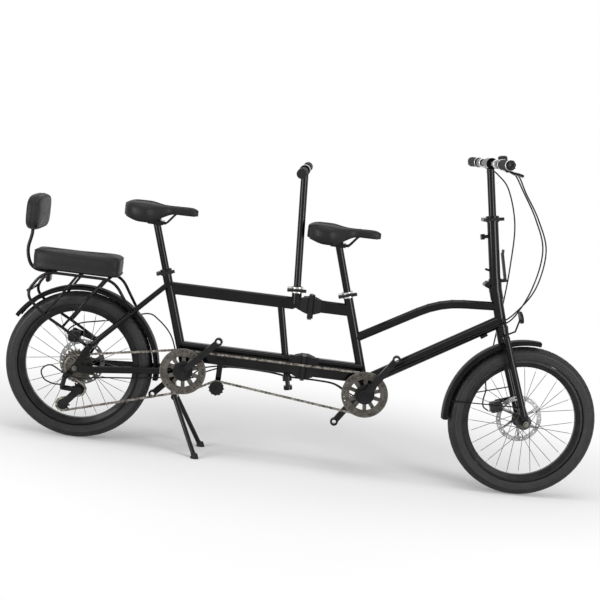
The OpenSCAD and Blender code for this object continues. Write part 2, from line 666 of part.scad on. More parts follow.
// One cross-section: from the skirt's right edge over the top to its left edge, then underneath
function saddle_ring(x, t) = let (w = saddle_half(t), z0 = skirt(t), z1 = crown(t), h = z1 - z0)
    [for (s = [[-0.86, 0], [-0.95, 0.22], [-0.99, 0.5], [-0.97, 0.72], [-0.86, 0.9], [-0.62, 0.99],
        [-0.34, 1], [-0.14, 0.97], [0, 0.93], [0.14, 0.97], [0.34, 1], [0.62, 0.99], [0.86, 0.9],
        [0.97, 0.72], [0.99, 0.5], [0.95, 0.22], [0.86, 0], [0.45, 0.12], [0, 0.16], [-0.45, 0.12]])
        [x, -s[0] * w, z0 + s[1] * h]];
// Height of the saddle's underside at a place along it and a distance from its middle
function under(x, y) = let (t = x / saddle_len + saddle_set, k = y / saddle_half(t), z0 = skirt(t))
    z0 + (k < 0.45 ? 0.16 - 0.09 * k : 0.29 * (0.86 - k)) * (crown(t) - z0);
rail_r = 3.5;
module saddle_rails(c) {
    mirrored() bent([[c.x - 74, 40, under(-74, 40 + rail_r) - 2], [c.x - 42, 17, c.z - 6],
        [c.x + 32, 17, c.z - 6], [c.x + 70, 9, under(70, 9 + rail_r) - 3]], rail_r);
}
module saddle(bb) color(dark) {
    c = on_seat(bb, clamp_d(saddle_top));
    x0 = c.x - saddle_len * saddle_set;
    skin([for (t = [0.004, 0.02, 0.05, 0.1, 0.16, 0.23, 0.3, 0.38, 0.46, 0.54, 0.62, 0.7, 0.78, 0.86, 0.92,
        0.96, 0.985, 0.998]) saddle_ring(x0 + t * saddle_len, t)]);
    saddle_rails(c);
}
module rear_seatpost() seatpost(rear_bb);
module front_seatpost() seatpost(front_bb);
module rear_saddle() saddle(rear_bb);
module front_saddle() saddle(front_bb);
// Stoker bar with its post and grips
module stoker_bar() color(black) {
    p = on_stoker(stoker_z);
    rod(on_stoker(upper_z - 6), p, stoker_r);
    cross(p.x, p.z, -stoker_half, stoker_half, bar_r);
    cross(p.x, p.z, -24, 24, bar_r + 7);
    mirrored() cross(p.x, p.z, stoker_half - grip_len, stoker_half + 3, grip_r);
}
// Support leg that slides in the strut
module support_leg() color(black) {
    rod(on_strut(lower_z + 60), on_strut(272), leg_r);
    rod(on_strut(276), on_strut(262), leg_r + 7);
}
// Steering: the handlepost's frame starts at its hinge plane
post_s = 484;
hinge_x = -32;
module posted() steered() translate([2, 0, post_s]) rotate([0, post_lean, 0]) children();
// The handlebar's frame, with its X axis along the brake brackets
bar_tilt = 39;
module barred() posted() translate([0, 0, bar_rise]) rotate([0, bar_tilt, 0]) children();
crown_s = cup_low - 22;
module fork() color(black) {
    difference() {
        steered() union() {
            translate([0, 0, cup_low - 36]) cylinder(h = 36 - 2 * gap, r = head_r + 2);
            translate([0, 0, crown_s]) cylinder(h = post_s - 12 - crown_s, r = steerer_r);
            translate([0, 0, cup_top + 2 * gap]) cylinder(h = post_s - 12 - cup_top, r = post_r + 3);
            cross(0, crown_s, -fork_y, fork_y, fork_r);
            mirrored() {
                rod([0, fork_y, crown_s], [rake, fork_y, 26], fork_r);
                translate([0, fork_y, crown_s]) sphere(fork_r * 1.02);
                plate(fork_y - drop_t / 2, fork_y + drop_t / 2) slat([rake, 0], [rake, 36], 11);
            }
            plate(fork_y - 2, fork_y + 4)
                slat([rake, 72], [rake + front_cal.x + 8, front_cal.y + 14], 7);
        }
        steered() cross(rake, 0, -fork_y * 2, fork_y * 2, axle_r + fit);
    }
    posted() {
        translate([0, 0, -26]) cylinder(h = 26 - gap, r = post_r + 3);
        plate(-8, 8) slat([hinge_x, 0], [-14, -11], 8);
        cross(hinge_x, 0, -18, 18, pin_r);
    }
}
module front_mudguard() color(black) wheeled() {
    mudguard(67, 167);
    r = tyre_r + 18;
    rod([r * cos(153), -27, r * sin(153)], [-6, -fork_y - fork_r - 2 - gap, 60], 2);
    rod([r * cos(153), 27, r * sin(153)], [-8, fork_y + fork_r + 2 + gap, 110], 2);
    translate([-rake - 6, -10, tyre_r + 21.5]) cube([12, 20, cup_low - 36 - gap - tyre_r - 21.5]);
}
module front_reflector() color("white") steered() {
    bent([[head_r + 2 + gap, 0, cup_low - 18], [44, 0, cup_low - 14], [71, 0, cup_low + 30]], 3);
    translate([67, 0, cup_low + 30]) rotate([0, 90, 0]) cylinder(h = 9, r = 21);
}
post_h = 228;
module handlepost() color(black) posted() difference() {
    union() {
        translate([0, 0, gap]) cylinder(h = 18, r = post_r + 3);
        translate([0, 0, gap]) cylinder(h = post_h, r = post_r);
        mirrored() plate(8 + gap, 18) {
            translate([hinge_x, 0]) circle(8);
            translate([hinge_x, gap]) square([28, 11]);
        }
        mirrored() plate(7, 12) slat([14, 10], [35, 10], 5);
        translate([0, 0, post_h - collar_h + 3]) collar(post_r - 0.5);
        translate([-post_r - 12, 0, 163]) rotate([0, 90, 0]) cylinder(h = 16, r = 6);
        translate([-post_r - 24, 0, 163]) rotate([0, 90, 0]) cylinder(h = 13, r = 10, $fn = 9);
        plate(-5, 5) slat([-post_r, 48], [-post_r - 10, 52], 4);
    }
    translate([0, 0, 35]) cylinder(h = post_h, r = mast_r + fit);
    cross(hinge_x, 0, -30, 30, pin_r + fit);
    plate(-8 - gap, 8 + gap) slat([hinge_x, 0], [-14, -11], 8 + 2 * gap);
    cross(35, 10, -20, 20, 3 + fit);
}
module handlepost_latch() color(black) posted() {
    cross(35, 10, -13, 13, 3);
    plate(-7 + gap, 7 - gap) {
        slat([35, 10], [29, 100], 4.5);
        slat([29, 96], [32, 112], 3.5);
    }
}
module handlepost_qr() color(silver) posted() translate([0, 0, post_h - collar_h + 3]) qr(post_r - 0.5);
lever_y = bar_half - grip_len - 32;
module bar_mast() color(black) {
    posted() {
        translate([0, 0, 110]) cylinder(h = bar_rise - 110, r = mast_r);
        cross(0, bar_rise, -bar_half, bar_half, bar_r);
        cross(0, bar_rise, -26, 26, bar_r + 8);
    }
    barred() difference() {
        union() {
            mirrored() {
                cross(0, 0, lever_y - 12, lever_y + 12, bar_r + 4);
                plate(lever_y - 7, lever_y + 7) slat([8, 0], [32, 0], 8);
            }
            translate([20, -108, -6]) cylinder(h = 24, r = 13);
            translate([4, -120, -6]) cube([16, 20, 12]);
        }
        for (s = [-1, 1]) translate([32, s * lever_y, -4.6]) cube([60, 30, 9.2], center = false);
        for (s = [-1, 1]) translate([26, s * lever_y - 30, -4.6]) cube([60, 60, 9.2]);
        for (s = [-1, 1]) translate([32, s * lever_y, -20]) cylinder(h = 40, r = 2.5 + fit);
        translate([20, -108, -10]) cylinder(h = 40, r = 3 + fit);
    }
}
module handlebar_grips() color(dark) posted() mirrored() difference() {
    cross(0, bar_rise, bar_half - grip_len, bar_half, grip_r);
    cross(0, bar_rise, bar_half - grip_len - 1, bar_half + 1, bar_r + fit);
}
module brake_lever() {
    translate([32, lever_y, -9]) cylinder(h = 18, r = 2.5);
    linear_extrude(8, center = true) {
        slat([33, lever_y], [52, lever_y + 22], 5);
        slat([52, lever_y + 22], [54, lever_y + 70], 4.6);
        slat([54, lever_y + 70], [60, lever_y + 110], 4.6);
    }
}
module left_brake_lever() color(dark) barred() brake_lever();
module right_brake_lever() color(dark) barred() mirror([0, 1, 0]) brake_lever();
module shifter() color(dark) barred() translate([20, -108, 0]) {
    translate([0, 0, -9]) cylinder(h = 30, r = 3);
    translate([0, 0, 18 + gap]) linear_extrude(4) slat([0, 0], [-22, -24], 6);
}

// Drive
tooth = [[-0.36, -3.6], [-0.14, 2.8], [0.14, 2.8], [0.36, -3.6]];
function gear_points(n, r) = [for (i = [0 : n - 1]) for (k = tooth)
    let (a = 360 * (i + k[0]) / n) (r + k[1]) * [cos(a), sin(a)]];
function gear_r(n) = pitch / 2 / sin(180 / n);
module gear(n, t, hole) {
    plate(-t / 2, t / 2) difference() {
        polygon(gear_points(n, gear_r(n)));
        circle(hole);
    }
}
module chainring(y) {
    translate([0, -y, 0]) difference() {
        gear(ring_teeth, 2.2, ring_r - 16);
    }
    plate(-y - 1.1, -y + 1.1) for (i = [0 : 4]) rotate(72 * i + 20) slat([16, 0], [ring_r - 12, 0], 7);
}
guard_y = timing_y + 7.5;
guard_r = ring_r + 7;
module guard_disc() {
    plate(-guard_y - 1, -guard_y + 1) difference() {
        circle(guard_r);
        difference() {
            circle(ring_r - 20);
            circle(ring_r - 39);
            for (i = [0 : 4]) rotate(72 * i + 60) slat([0, 0], [ring_r, 0], 7);
        }
        for (i = [0 : 29]) rotate(12 * i) translate([ring_r - 3, 0]) circle(2.4);
    }
    for (i = [0 : 4]) rotate([0, -72 * i - 60, 0]) cross(ring_r - 14, 0, -guard_y - 3, -guard_y + 0, 4.5);
}
module crank_arm(a) {
    plate(crank_y, crank_y + 16) {
        circle(19);
        slat([0, 0], [crank_len * cos(a), crank_len * sin(a)], 11);
        translate(crank_len * [cos(a), sin(a)]) circle(14);
    }
}
module cranks(bb, a) color(silver) translate(bb) difference() {
    union() {
        cross(0, 0, -crank_y - 18, crank_y + 18, spindle_r);
        mirrored() cross(0, 0, crank_y, crank_y + 20, 11);
        crank_arm(a + 180);
        mirror([0, 1, 0]) crank_arm(a);
    }
    for (s = [-1, 1]) translate([0, s * (crank_y + 8), 0])
        cross(-s * crank_len * cos(a), -s * crank_len * sin(a), -20, 20, pedal_r);
}
module rear_cranks() cranks(rear_bb, rear_crank_angle);
module front_cranks() cranks(front_bb, front_crank_angle);
module spider(y0) difference() {
    cross(0, 0, -crank_y + 2 * gap, -y0, 22);
    cross(0, 0, -100, 0, spindle_r + fit);
}
module rear_chainrings() color("dimgray") translate(rear_bb) {
    chainring(drive_y);
    chainring(timing_y);
    difference() {
        guard_disc();
        cross(0, 0, -100, 0, 20);
    }
    spider(shell_w / 2 + 2);
}
module front_chainring() color("dimgray") translate(front_bb) {
    chainring(timing_y);
    difference() {
        guard_disc();
        cross(0, 0, -100, 0, 20);
    }
    spider(shell_w / 2 + 2);
}
cog_step = 5;
cogs = [cog_teeth + 8, cog_teeth + 4, cog_teeth + 2, cog_teeth, cog_teeth - 2, cog_teeth - 4, cog_teeth - 6];
module cassette() color("gray") translate(rear_axle_p) difference() {
    union() {
        for (i = [0 : 6]) translate([0, -drive_y + (3 - i) * cog_step, 0]) gear(cogs[i], 1.8, 10);
        cross(0, 0, -drive_y - 3.6 * cog_step, -24.5, 17);
    }
    cross(0, 0, -100, 0, axle_r + fit);
}
// Chain tensioner under the lower tube
tens_teeth = 12;
tens_p = [rear_bb_x + 120, 0, bb_z - 44];
module tensioner_bracket() color(black) {
    plate(-lower_w / 2 - 5 - fit, -lower_w / 2 - fit) {
        slat([tens_p.x - 10, lower_z - 19], [tens_p.x + 13, lower_z - 19], 10);
        slat([tens_p.x + 2, lower_z - 19], [tens_p.x, tens_p.z], 10);
    }
    cross(tens_p.x, tens_p.z, -timing_y - 6, -lower_w / 2 - 2, axle_r);
    for (x = [-10, 13]) cross(tens_p.x + x, lower_z - 19, -lower_w / 2 - 9, -lower_w / 2 - 4, 5);
}
module tensioner_roller() color(dark) translate(tens_p) difference() {
    union() {
        translate([0, -timing_y, 0]) gear(tens_teeth, 2.4, 8);
        cross(0, 0, -timing_y - 5.2, -timing_y + 12, 11);
        for (y = [-5.2, 3.8]) cross(0, 0, y - timing_y, y - timing_y + 1.4, gear_r(tens_teeth));
    }
    cross(0, 0, -100, 0, axle_r + fit);
}
// Derailleur
jockey_teeth = 11;
jock_up = [rear_axle_p.x + 16, 0, rear_axle_p.z - 78];
jock_low = [rear_axle_p.x - 36, 0, rear_axle_p.z - 138];
hanger = [rear_axle_p.x - 30, 0, rear_axle_p.z - 32];
knuckle_y = -rear_in - drop_t - 10.5;
module derailleur() color("gray") difference() {
    union() {
        cross(hanger.x, hanger.z, -rear_in - drop_t - 12, -rear_in - drop_t - gap, 9);
        bent([[hanger.x, knuckle_y, hanger.z], [hanger.x - 5, knuckle_y, hanger.z - 29],
            [hanger.x - 8, -drive_y - 22, jock_up.z + 4]], 8);
        translate([hanger.x - 8, -drive_y - 22, jock_up.z + 4]) sphere(9.3);
        rod([hanger.x - 8, -drive_y - 22, jock_up.z + 4], [jock_up.x, -drive_y - 16, jock_up.z], 9);
        cross(jock_up.x, jock_up.z, -drive_y - 24, -drive_y - 8, 13);
        cross(hanger.x - 14, jock_up.z + 13, -drive_y - 26, -drive_y - 18, 5);
    }
    cross(jock_up.x, jock_up.z, -drive_y - 19, -drive_y - 7, 6 + fit);
}
module derailleur_cage() color(dark) {
    for (y = [-drive_y - 7, -drive_y + 5.5])
        plate(y, y + 1.5) slat([jock_up.x, jock_up.z], [jock_low.x, jock_low.z], 13);
    for (p = [jock_up, jock_low]) cross(p.x, p.z, -drive_y - 6, -drive_y + 6, 3);
    cross(jock_up.x, jock_up.z, -drive_y - 18, -drive_y - 6, 6);
}
module jockey(p) color(dark) translate(p) translate([0, -drive_y, 0]) difference() {
    union() {
        gear(jockey_teeth, 2.4, 5);
        cross(0, 0, -4.6, 4.6, 8);
    }
    cross(0, 0, -20, 20, 3 + fit);
}
module upper_jockey() jockey(jock_up);
module lower_jockey() jockey(jock_low);
// Chains: circles [x, z, radius, turn] are passed in order, and a heading is the chain's direction
function heading(a, b) = let (d = [b[0] - a[0], b[1] - a[1]], k = b[3] * b[2] - a[3] * a[2])
    atan2(d[1], d[0]) - asin(k / norm(d));
function turn_to(h0, h1, s) = let (d = (h1 - h0) * s) h0 + s * (d - 360 * floor(d / 360));
function arc_at(c, h) = [c[0] + c[3] * c[2] * sin(h), c[1] - c[3] * c[2] * cos(h), h];
function arc(c, h0, h1) = let (n = ceil(abs(h1 - h0) / 12))
    [for (k = [0 : n]) arc_at(c, h0 + (h1 - h0) * k / n)];
function path(cs) = let (n = len(cs)) [for (i = [0 : n - 1])
    let (h0 = heading(cs[(i + n - 1) % n], cs[i]), h1 = heading(cs[i], cs[(i + 1) % n]))
    each arc(cs[i], h0, turn_to(h0, h1, cs[i][3]))];
function shifted(p, w) = [for (q = p) [q[0] + w * sin(q[2]), q[1] - w * cos(q[2])]];
module chain(cs, y) {
    p = path(cs);
    n = len(cs);
    for (s = [-3.2, 1.8]) plate(-y + s, -y + s + 1.4) difference() {
        polygon(shifted(p, 4.2));
        polygon(shifted(p, -4.2));
    }
    for (i = [0 : n - 1]) {
        h = heading(cs[i], cs[(i + 1) % n]);
        a = arc_at(cs[i], h);
        b = arc_at(cs[(i + 1) % n], h);
        span = norm([b[0] - a[0], b[1] - a[1]]);
        for (k = [3 : 1 : floor(span / pitch) - 3])
            cross(a[0] + k * pitch * cos(h), a[1] + k * pitch * sin(h), -y - 3, -y + 3, 2.6);
    }
}
module drive_chain() color("tan") chain([[rear_bb.x, rear_bb.z, ring_r, 1],
    [rear_axle_p.x, rear_axle_p.z, cog_r, 1], [jock_up.x, jock_up.z, gear_r(jockey_teeth), -1],
    [jock_low.x, jock_low.z, gear_r(jockey_teeth), 1]], drive_y);
module timing_chain() color("tan") chain([[rear_bb.x, rear_bb.z, ring_r, 1],
    [tens_p.x, tens_p.z, gear_r(tens_teeth), -1], [front_bb.x, front_bb.z, ring_r, 1]], timing_y);

// Cables, along points chosen by hand
cable_r = 2.5;
brake_front = [[609.5, -129, 1103.4], [634, -127, 1089], [664, -108, 1040], [722, -66, 955],
    [766, -40, 850], [750, -33, 720], [690, -31, 625], [640, -27, 584], [560, -25.5, 535],
    [420, -25.5, 449], [300, -25.5, 375], [262, -27, 318], [250, -24, 276], [222, -17, 262],
    [180, 0, 272], [120, 18, 298], [60, 20, 303], [4.4, 20, 303]];
gear_front = [[598, -102, 1106], [624, -98, 1092], [656, -92, 1044], [714, -56, 955], [756, -30, 850],
    [740, -24, 720], [690, -24, 610], [634, -27, 573], [560, -24.8, 527], [420, -24.8, 441],
    [300, -24.8, 367], [256, -27, 308], [242, -22, 268], [218, -10, 254], [178, 8, 264],
    [120, 26, 294], [60, 27, 300], [4.4, 27, 300]];
brake_steer = [[80.6, 138, 859], [101, 134, 838], [125, 110, 780], [118, 74, 660], [76, 66, 520],
    [34, 74, 400], [-6, 80, 300], [-44, 76, 210], [-70, 68, 150], [-77, 63, 115], [-93, 57, 85],
    [-97, 53.4, 61.7], [-83.4, 53.4, 45]];
brake_rear = [[3.6, 20, 303], [-50, 21, 303], [-120, 20, 312], [-250, 20, 313], [-340, 19, 296],
    [-375, 18, 270], [-403, 17, 263], [-428, 17, 270], [-437, 17, 300], [-447, 17, 350],
    [-470, 22, 400], [-515, 36, 440], [-560, 52, 455], [-650, 65, 422], [-730, 66, 404],
    [-785, 65, 392], [-818, 64.3, 376], [-834, 64.3, 358], [-835, 64.3, 344.4]];
gear_rear = [[3.6, 27, 300], [-50, 27, 300], [-120, 27, 308], [-250, 27, 308], [-320, 20, 288],
    [-370, 0, 262], [-403, -12, 258], [-440, -24, 255], [-480, -34, 254], [-560, -44, 243],
    [-640, -53, 236], [-700, -66, 231], [-745, -80, 226], [-795, -95, 236], [-850, -94, 262],
    [-882, -87, 240], [-873, -78, 208], [-845, -68, 193], [-821, -66, 192]];
module front_cables() color(dark) {
    cable(brake_front, cable_r);
    cable(gear_front, cable_r);
    steered() cable(brake_steer, cable_r);
}
module rear_cables() color(dark) {
    cable(brake_rear, cable_r);
    cable(gear_rear, cable_r);
}

rear_main_frame();
rear_stays();
rear_rack();
rack_pad();
backrest_pad();
rear_mudguard();
rear_caliper();
rear_caliper_arm();
tensioner_bracket();
tensioner_roller();
rear_collars();
rear_seat_qr();
stoker_qr();
rear_axle();
rear_tyre();
rear_rim();
rear_hub();
cassette();
rear_cranks();
rear_chainrings();
front_cranks();
front_chainring();
timing_chain();
drive_chain();
derailleur();
derailleur_cage();
upper_jockey();
lower_jockey();
kickstand();
rear_cables();
rear_seatpost();
rear_saddle();
stoker_bar();
support_leg();
front_main_frame();
front_collar();
front_seat_qr();
fold_pins();
upper_fold_latch();
lower_fold_latch();
front_seatpost();
front_saddle();
front_cables();
fork();
front_axle();
front_mudguard();
front_caliper();
front_caliper_arm();
front_reflector();
front_tyre();
front_rim();
front_hub();
handlepost();
handlepost_latch();
handlepost_qr();
bar_mast();
handlebar_grips();
right_brake_lever();
left_brake_lever();
shifter();
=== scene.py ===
"""A folding tandem bicycle: gloss black tubes, wide tyres, sewn seats, open chains and free cables."""

from __future__ import annotations

import json
import logging
import math
from dataclasses import dataclass, field
from enum import Enum
from functools import cached_property
from typing import Any, Protocol, Sequence

import bmesh
import bpy
import numpy as np
from mathutils import Matrix, Vector

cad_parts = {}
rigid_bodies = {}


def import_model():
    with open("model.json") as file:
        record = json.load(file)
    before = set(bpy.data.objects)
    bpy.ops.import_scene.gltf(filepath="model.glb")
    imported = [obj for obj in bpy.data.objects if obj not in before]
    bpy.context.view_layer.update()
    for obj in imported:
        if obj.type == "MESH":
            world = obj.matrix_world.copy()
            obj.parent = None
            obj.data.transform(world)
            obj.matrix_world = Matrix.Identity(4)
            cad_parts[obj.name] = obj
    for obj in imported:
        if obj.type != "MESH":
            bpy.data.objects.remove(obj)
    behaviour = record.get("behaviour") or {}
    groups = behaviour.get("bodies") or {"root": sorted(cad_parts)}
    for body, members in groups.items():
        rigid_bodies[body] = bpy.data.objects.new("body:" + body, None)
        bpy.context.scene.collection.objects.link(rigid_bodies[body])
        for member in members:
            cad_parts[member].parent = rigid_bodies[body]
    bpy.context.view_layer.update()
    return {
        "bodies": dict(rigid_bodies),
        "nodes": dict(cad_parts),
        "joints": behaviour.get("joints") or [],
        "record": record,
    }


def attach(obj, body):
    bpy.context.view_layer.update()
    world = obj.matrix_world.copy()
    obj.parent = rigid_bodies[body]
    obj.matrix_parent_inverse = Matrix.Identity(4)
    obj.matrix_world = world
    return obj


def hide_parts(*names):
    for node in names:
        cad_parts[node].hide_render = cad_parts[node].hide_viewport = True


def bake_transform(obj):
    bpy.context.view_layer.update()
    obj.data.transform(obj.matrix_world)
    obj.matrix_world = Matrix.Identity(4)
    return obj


LOG = logging.getLogger("tandem")
Point = tuple[float, float, float]
Colour = tuple[float, float, float]
Shell = tuple[Sequence[Sequence[float]], Sequence[tuple[int, ...]]]
MM = 0.001
WHITE = (1.0, 1.0, 1.0, 1.0)


def turns(count: int) -> list[float]:
    """Angles of even steps round a circle.

    Args:
        count: how many steps.
    Returns:
        The angles in radians.
    """
    return [2 * math.pi * k / count for k in range(count)]


def signed_power(value: float, exponent: float) -> float:
    """A power that keeps the value's sign, for outlines with rounded corners."""
    return math.copysign(abs(value) ** exponent, value)


def scaled(colour: Colour, share: float) -> Colour:
    """A colour made darker or paler."""
    return tuple(part * share for part in colour)


def placed(name: str, data: bpy.types.ID) -> bpy.types.Object:
    """A new object in the scene.

    Args:
        name: its name.
        data: its mesh, lamp or camera.
    Returns:
        The object.
    """
    made = bpy.data.objects.new(name, data)
    bpy.context.scene.collection.objects.link(made)
    return made


class Tone(Enum):
    """How a socket's value behaves in shader maths."""

    VALUE = "value"
    VECTOR = "vector"
    COLOUR = "colour"


class Wire:
    """A node socket that answers to Python's operators by adding Math or Vector Math nodes."""

    def __init__(self, paint: "Paintbox", socket: bpy.types.NodeSocket, tone: Tone = Tone.VALUE) -> None:
        """Keeps the socket.

        Args:
            paint: the node tree builder that owns the socket.
            socket: an output socket.
            tone: what kind of value it carries.
        """
        self.paint = paint
        self.socket = socket
        self.tone = tone

    def _math(self, operation: str, first: Any, second: Any = None) -> "Wire":
        """One Math or Vector Math node.

        Args:
            operation: the node's operation.
            first: the first input.
            second: the second input, if the operation has one.
        Returns:
            The result as a wire.
        """
        both = [first] if second is None else [first, second]
        vector = any(isinstance(v, Wire) and v.tone is not Tone.VALUE for v in both)
        kind = "ShaderNodeVectorMath" if vector else "ShaderNodeMath"
        sockets = {k: self.paint.spread(v) if vector else v for k, v in enumerate(both)}
        out = "Vector" if vector else "Value"
        return self.paint.node(kind, {"operation": operation}, sockets, out)

    def __add__(self, other: Any) -> "Wire":
        """Sum."""
        return self._math("ADD", self, other)

    __radd__ = __add__

    def __sub__(self, other: Any) -> "Wire":
        """Difference."""
        return self._math("SUBTRACT", self, other)

    def __rsub__(self, other: Any) -> "Wire":
        """Difference from a number."""
        return self._math("SUBTRACT", other, self)

    def __mul__(self, other: Any) -> "Wire":
        """Product."""
        return self._math("MULTIPLY", self, other)

    __rmul__ = __mul__

    def __gt__(self, other: float) -> "Wire":
        """1 where the value is above a number, else 0."""
        return self._math("GREATER_THAN", self, other)

    def __lt__(self, other: float) -> "Wire":
        """1 where the value is below a number, else 0."""
        return self._math("LESS_THAN", self, other)

    def __abs__(self) -> "Wire":
        """Size without sign."""
        return self._math("ABSOLUTE", self)

    def sine(self) -> "Wire":
        """Sine of the value in radians."""
        return self._math("SINE", self)

    def root(self) -> "Wire":
        """Square root."""
        return self._math("SQRT", self)

    def between(self, low: float, high: float) -> "Wire":
        """A smooth step from 0 at low to 1 at high."""
        sockets = {"Value": self, "From Min": low, "From Max": high}
        return self.paint.node("ShaderNodeMapRange", {"interpolation_type": "SMOOTHSTEP"}, sockets, "Result")


class Paintbox:
    """Builds the node tree of one material, or of the world."""

    def __init__(self, name: str, owner: bpy.types.World | None = None) -> None:
        """Starts an empty tree.

        Args:
            name: the material's name.
            owner: the world, where the tree isn't a new material's.
        """
        self.owner = owner or bpy.data.materials.new(name)
        self.owner.use_nodes = True
        self.tree = self.owner.node_tree
        self.tree.nodes.clear()

    @cached_property
    def place(self) -> Wire:
        """The object coordinate."""
        return self.node("ShaderNodeTexCoord", {}, {}, "Object", Tone.VECTOR)

    @staticmethod
    def spread(value: Any) -> Any:
        """A number as a triple, for vector sockets; anything else as it is."""
        return (value, value, value) if isinstance(value, (int, float)) else value

    def node(self, kind: str, settings: dict[str, Any], sockets: dict[Any, Any], out: Any = 0,
             tone: Tone | None = None) -> Wire:
        """Adds one node.

        Args:
            kind: the node's type.
            settings: attributes that are set first.
            sockets: values or wires by input name or number.
            out: the output's name or number.
            tone: the tone of the result, worked out from the socket if left out.
        Returns:
            The chosen output as a wire.
        """
        made = self.tree.nodes.new(kind)
        for key, value in settings.items():
            setattr(made, key, value)
        for key, value in sockets.items():
            if isinstance(value, Wire):
                self.tree.links.new(value.socket, made.inputs[key])
            else:
                made.inputs[key].default_value = value
        socket = made.outputs[out]
        if tone is None:
            tone = {"VECTOR": Tone.VECTOR, "RGBA": Tone.COLOUR}.get(socket.type, Tone.VALUE)
        return Wire(self, socket, tone)

    def axes(self, source: Wire | None = None) -> tuple[Wire, Wire, Wire]:
        """The three parts of a vector, the object coordinate if none is given."""
        split = self.node("ShaderNodeSeparateXYZ", {}, {0: source or self.place}, 0)
        outputs = split.socket.node.outputs
        return tuple(Wire(self, outputs[k]) for k in range(3))

    def noise(self, scale: float, detail: float = 3.0, rough: float = 0.55, at: Wire | None = None) -> Wire:
        """Noise from 0 to 1.

        Args:
            scale: grains per metre.
            detail: octaves.
            rough: weight of the fine octaves.
            at: where it is read, the object coordinate if left out.
        Returns:
            The value.
        """
        sockets = {"Vector": at or self.place, "Scale": scale, "Detail": detail, "Roughness": rough}
        return self.node("ShaderNodeTexNoise", {}, sockets, "Fac", Tone.VALUE)

    def cells(self, scale: float, feature: str = "F1", at: Wire | None = None) -> Wire:
        """Distance in a cell pattern, for grain and pebbling."""
        sockets = {"Vector": at or self.place, "Scale": scale}
        return self.node("ShaderNodeTexVoronoi", {"feature": feature}, sockets, "Distance", Tone.VALUE)

    def mix(self, part: Any, first: Any, second: Any) -> Wire:
        """A colour between two colours.

        Args:
            part: 0 for the first, 1 for the second.
            first: a colour or wire.
            second: a colour or wire.
        Returns:
            The mixed colour.
        """
        full = [(*c, 1.0) if isinstance(c, tuple) else c for c in (first, second)]
        # Of the Mix node's sockets, inputs 6 and 7 and output 2 are the colours
        sockets = {0: part, 6: full[0], 7: full[1]}
        return self.node("ShaderNodeMix", {"data_type": "RGBA"}, sockets, 2, Tone.COLOUR)

    def bump(self, height: Wire, depth: float, strength: float = 1.0) -> Wire:
        """A normal from a height.

        Args:
            height: the height, 0 to 1.
            depth: metres from 0 to 1.
            strength: how much of it shows.
        Returns:
            The normal.
        """
        sockets = {"Height": height, "Distance": depth, "Strength": strength}
        return self.node("ShaderNodeBump", {}, sockets, "Normal", Tone.VECTOR)

    def finish(self, **sockets: Any) -> bpy.types.Material:
        """Ends the tree in a Principled shader.

        Args:
            sockets: values and wires by input name, with _ for a space.
        Returns:
            The material.
        """
        named = {key.replace("_", " "): value for key, value in sockets.items()}
        for key, value in named.items():
            if isinstance(value, tuple) and len(value) == 3:
                named[key] = (*value, 1.0)
        return self.close(self.node("ShaderNodeBsdfPrincipled", {}, named, "BSDF"))

    def close(self, shader: Wire, kind: str = "ShaderNodeOutputMaterial") -> Any:
        """Joins a shader to the tree's output.

        Args:
            shader: the last shader.
            kind: the output node's type.
        Returns:
            The material or the world.
        """
        output = self.tree.nodes.new(kind)
        self.tree.links.new(shader.socket, output.inputs["Surface"])
        return self.owner


class Grain(Enum):
    """The fine relief of a moulded or painted surface."""

    ORANGE_PEEL = "orange_peel"
    MOULDED = "moulded"
    BRUSHED = "brushed"
    CAST = "cast"


@dataclass(frozen=True)
class Coat:
    """A painted, moulded or bare metal surface.

    Attributes:
        name: the material's name.
        deep: the darker colour of its mottle.
        pale: the paler colour of its mottle.
        rough: lowest and highest roughness.
        metal: metallic share.
        grain: the fine relief.
        relief: depth of the relief in metres.
        scale: size of the mottle, grains per metre.
        dust: share of pale dust gathered in the mottle.
        gloss: specular level, 0.5 for plain plastic.
    """

    name: str
    deep: Colour
    pale: Colour
    rough: tuple[float, float]
    metal: float = 0.0
    grain: Grain = Grain.MOULDED
    relief: float = 0.00004
    scale: float = 24.0
    dust: float = 0.0
    gloss: float = 0.2

    def height(self, paint: Paintbox) -> Wire:
        """The relief's height.

        Args:
            paint: the material being made.
        Returns:
            A value from 0 to 1.
        """
        if self.grain is Grain.ORANGE_PEEL:
            return paint.noise(420.0, 1.0)
        if self.grain is Grain.BRUSHED:
            x, y, z = paint.axes()
            long = paint.node("ShaderNodeCombineXYZ", {}, {0: x * 60.0, 1: y * 900.0, 2: z * 60.0}, 0)
            return paint.noise(2.0, 4.0, at=long)
        if self.grain is Grain.CAST:
            return paint.cells(900.0)
        return paint.noise(1500.0, 2.0)

    def colour(self, paint: Paintbox) -> Wire:
        """The mottled colour, with a little dust where asked.

        Args:
            paint: the material being made.
        Returns:
            The colour.
        """
        mottle = paint.mix(paint.noise(self.scale, 4.0).between(0.3, 0.75), self.deep, self.pale)
        if self.dust:
            film = paint.noise(9.0, 6.0, 0.7).between(0.5, 0.8) * self.dust
            mottle = paint.mix(film, mottle, (0.30, 0.28, 0.25))
        return mottle

    def make(self) -> bpy.types.Material:
        """The material."""
        paint = Paintbox(self.name)
        normal = paint.bump(self.height(paint), self.relief, 0.6)
        return paint.finish(Base_Color=self.colour(paint), Roughness=self.sheen(paint), Metallic=self.metal,
                            Specular_IOR_Level=self.gloss, Normal=normal)

    def sheen(self, paint: Paintbox) -> Wire:
        """The roughness.

        Args:
            paint: the material being made.
        Returns:
            A value from 0 to 1.
        """
        low, high = self.rough
        return low + paint.noise(self.scale * 2.3, 3.0) * (high - low)


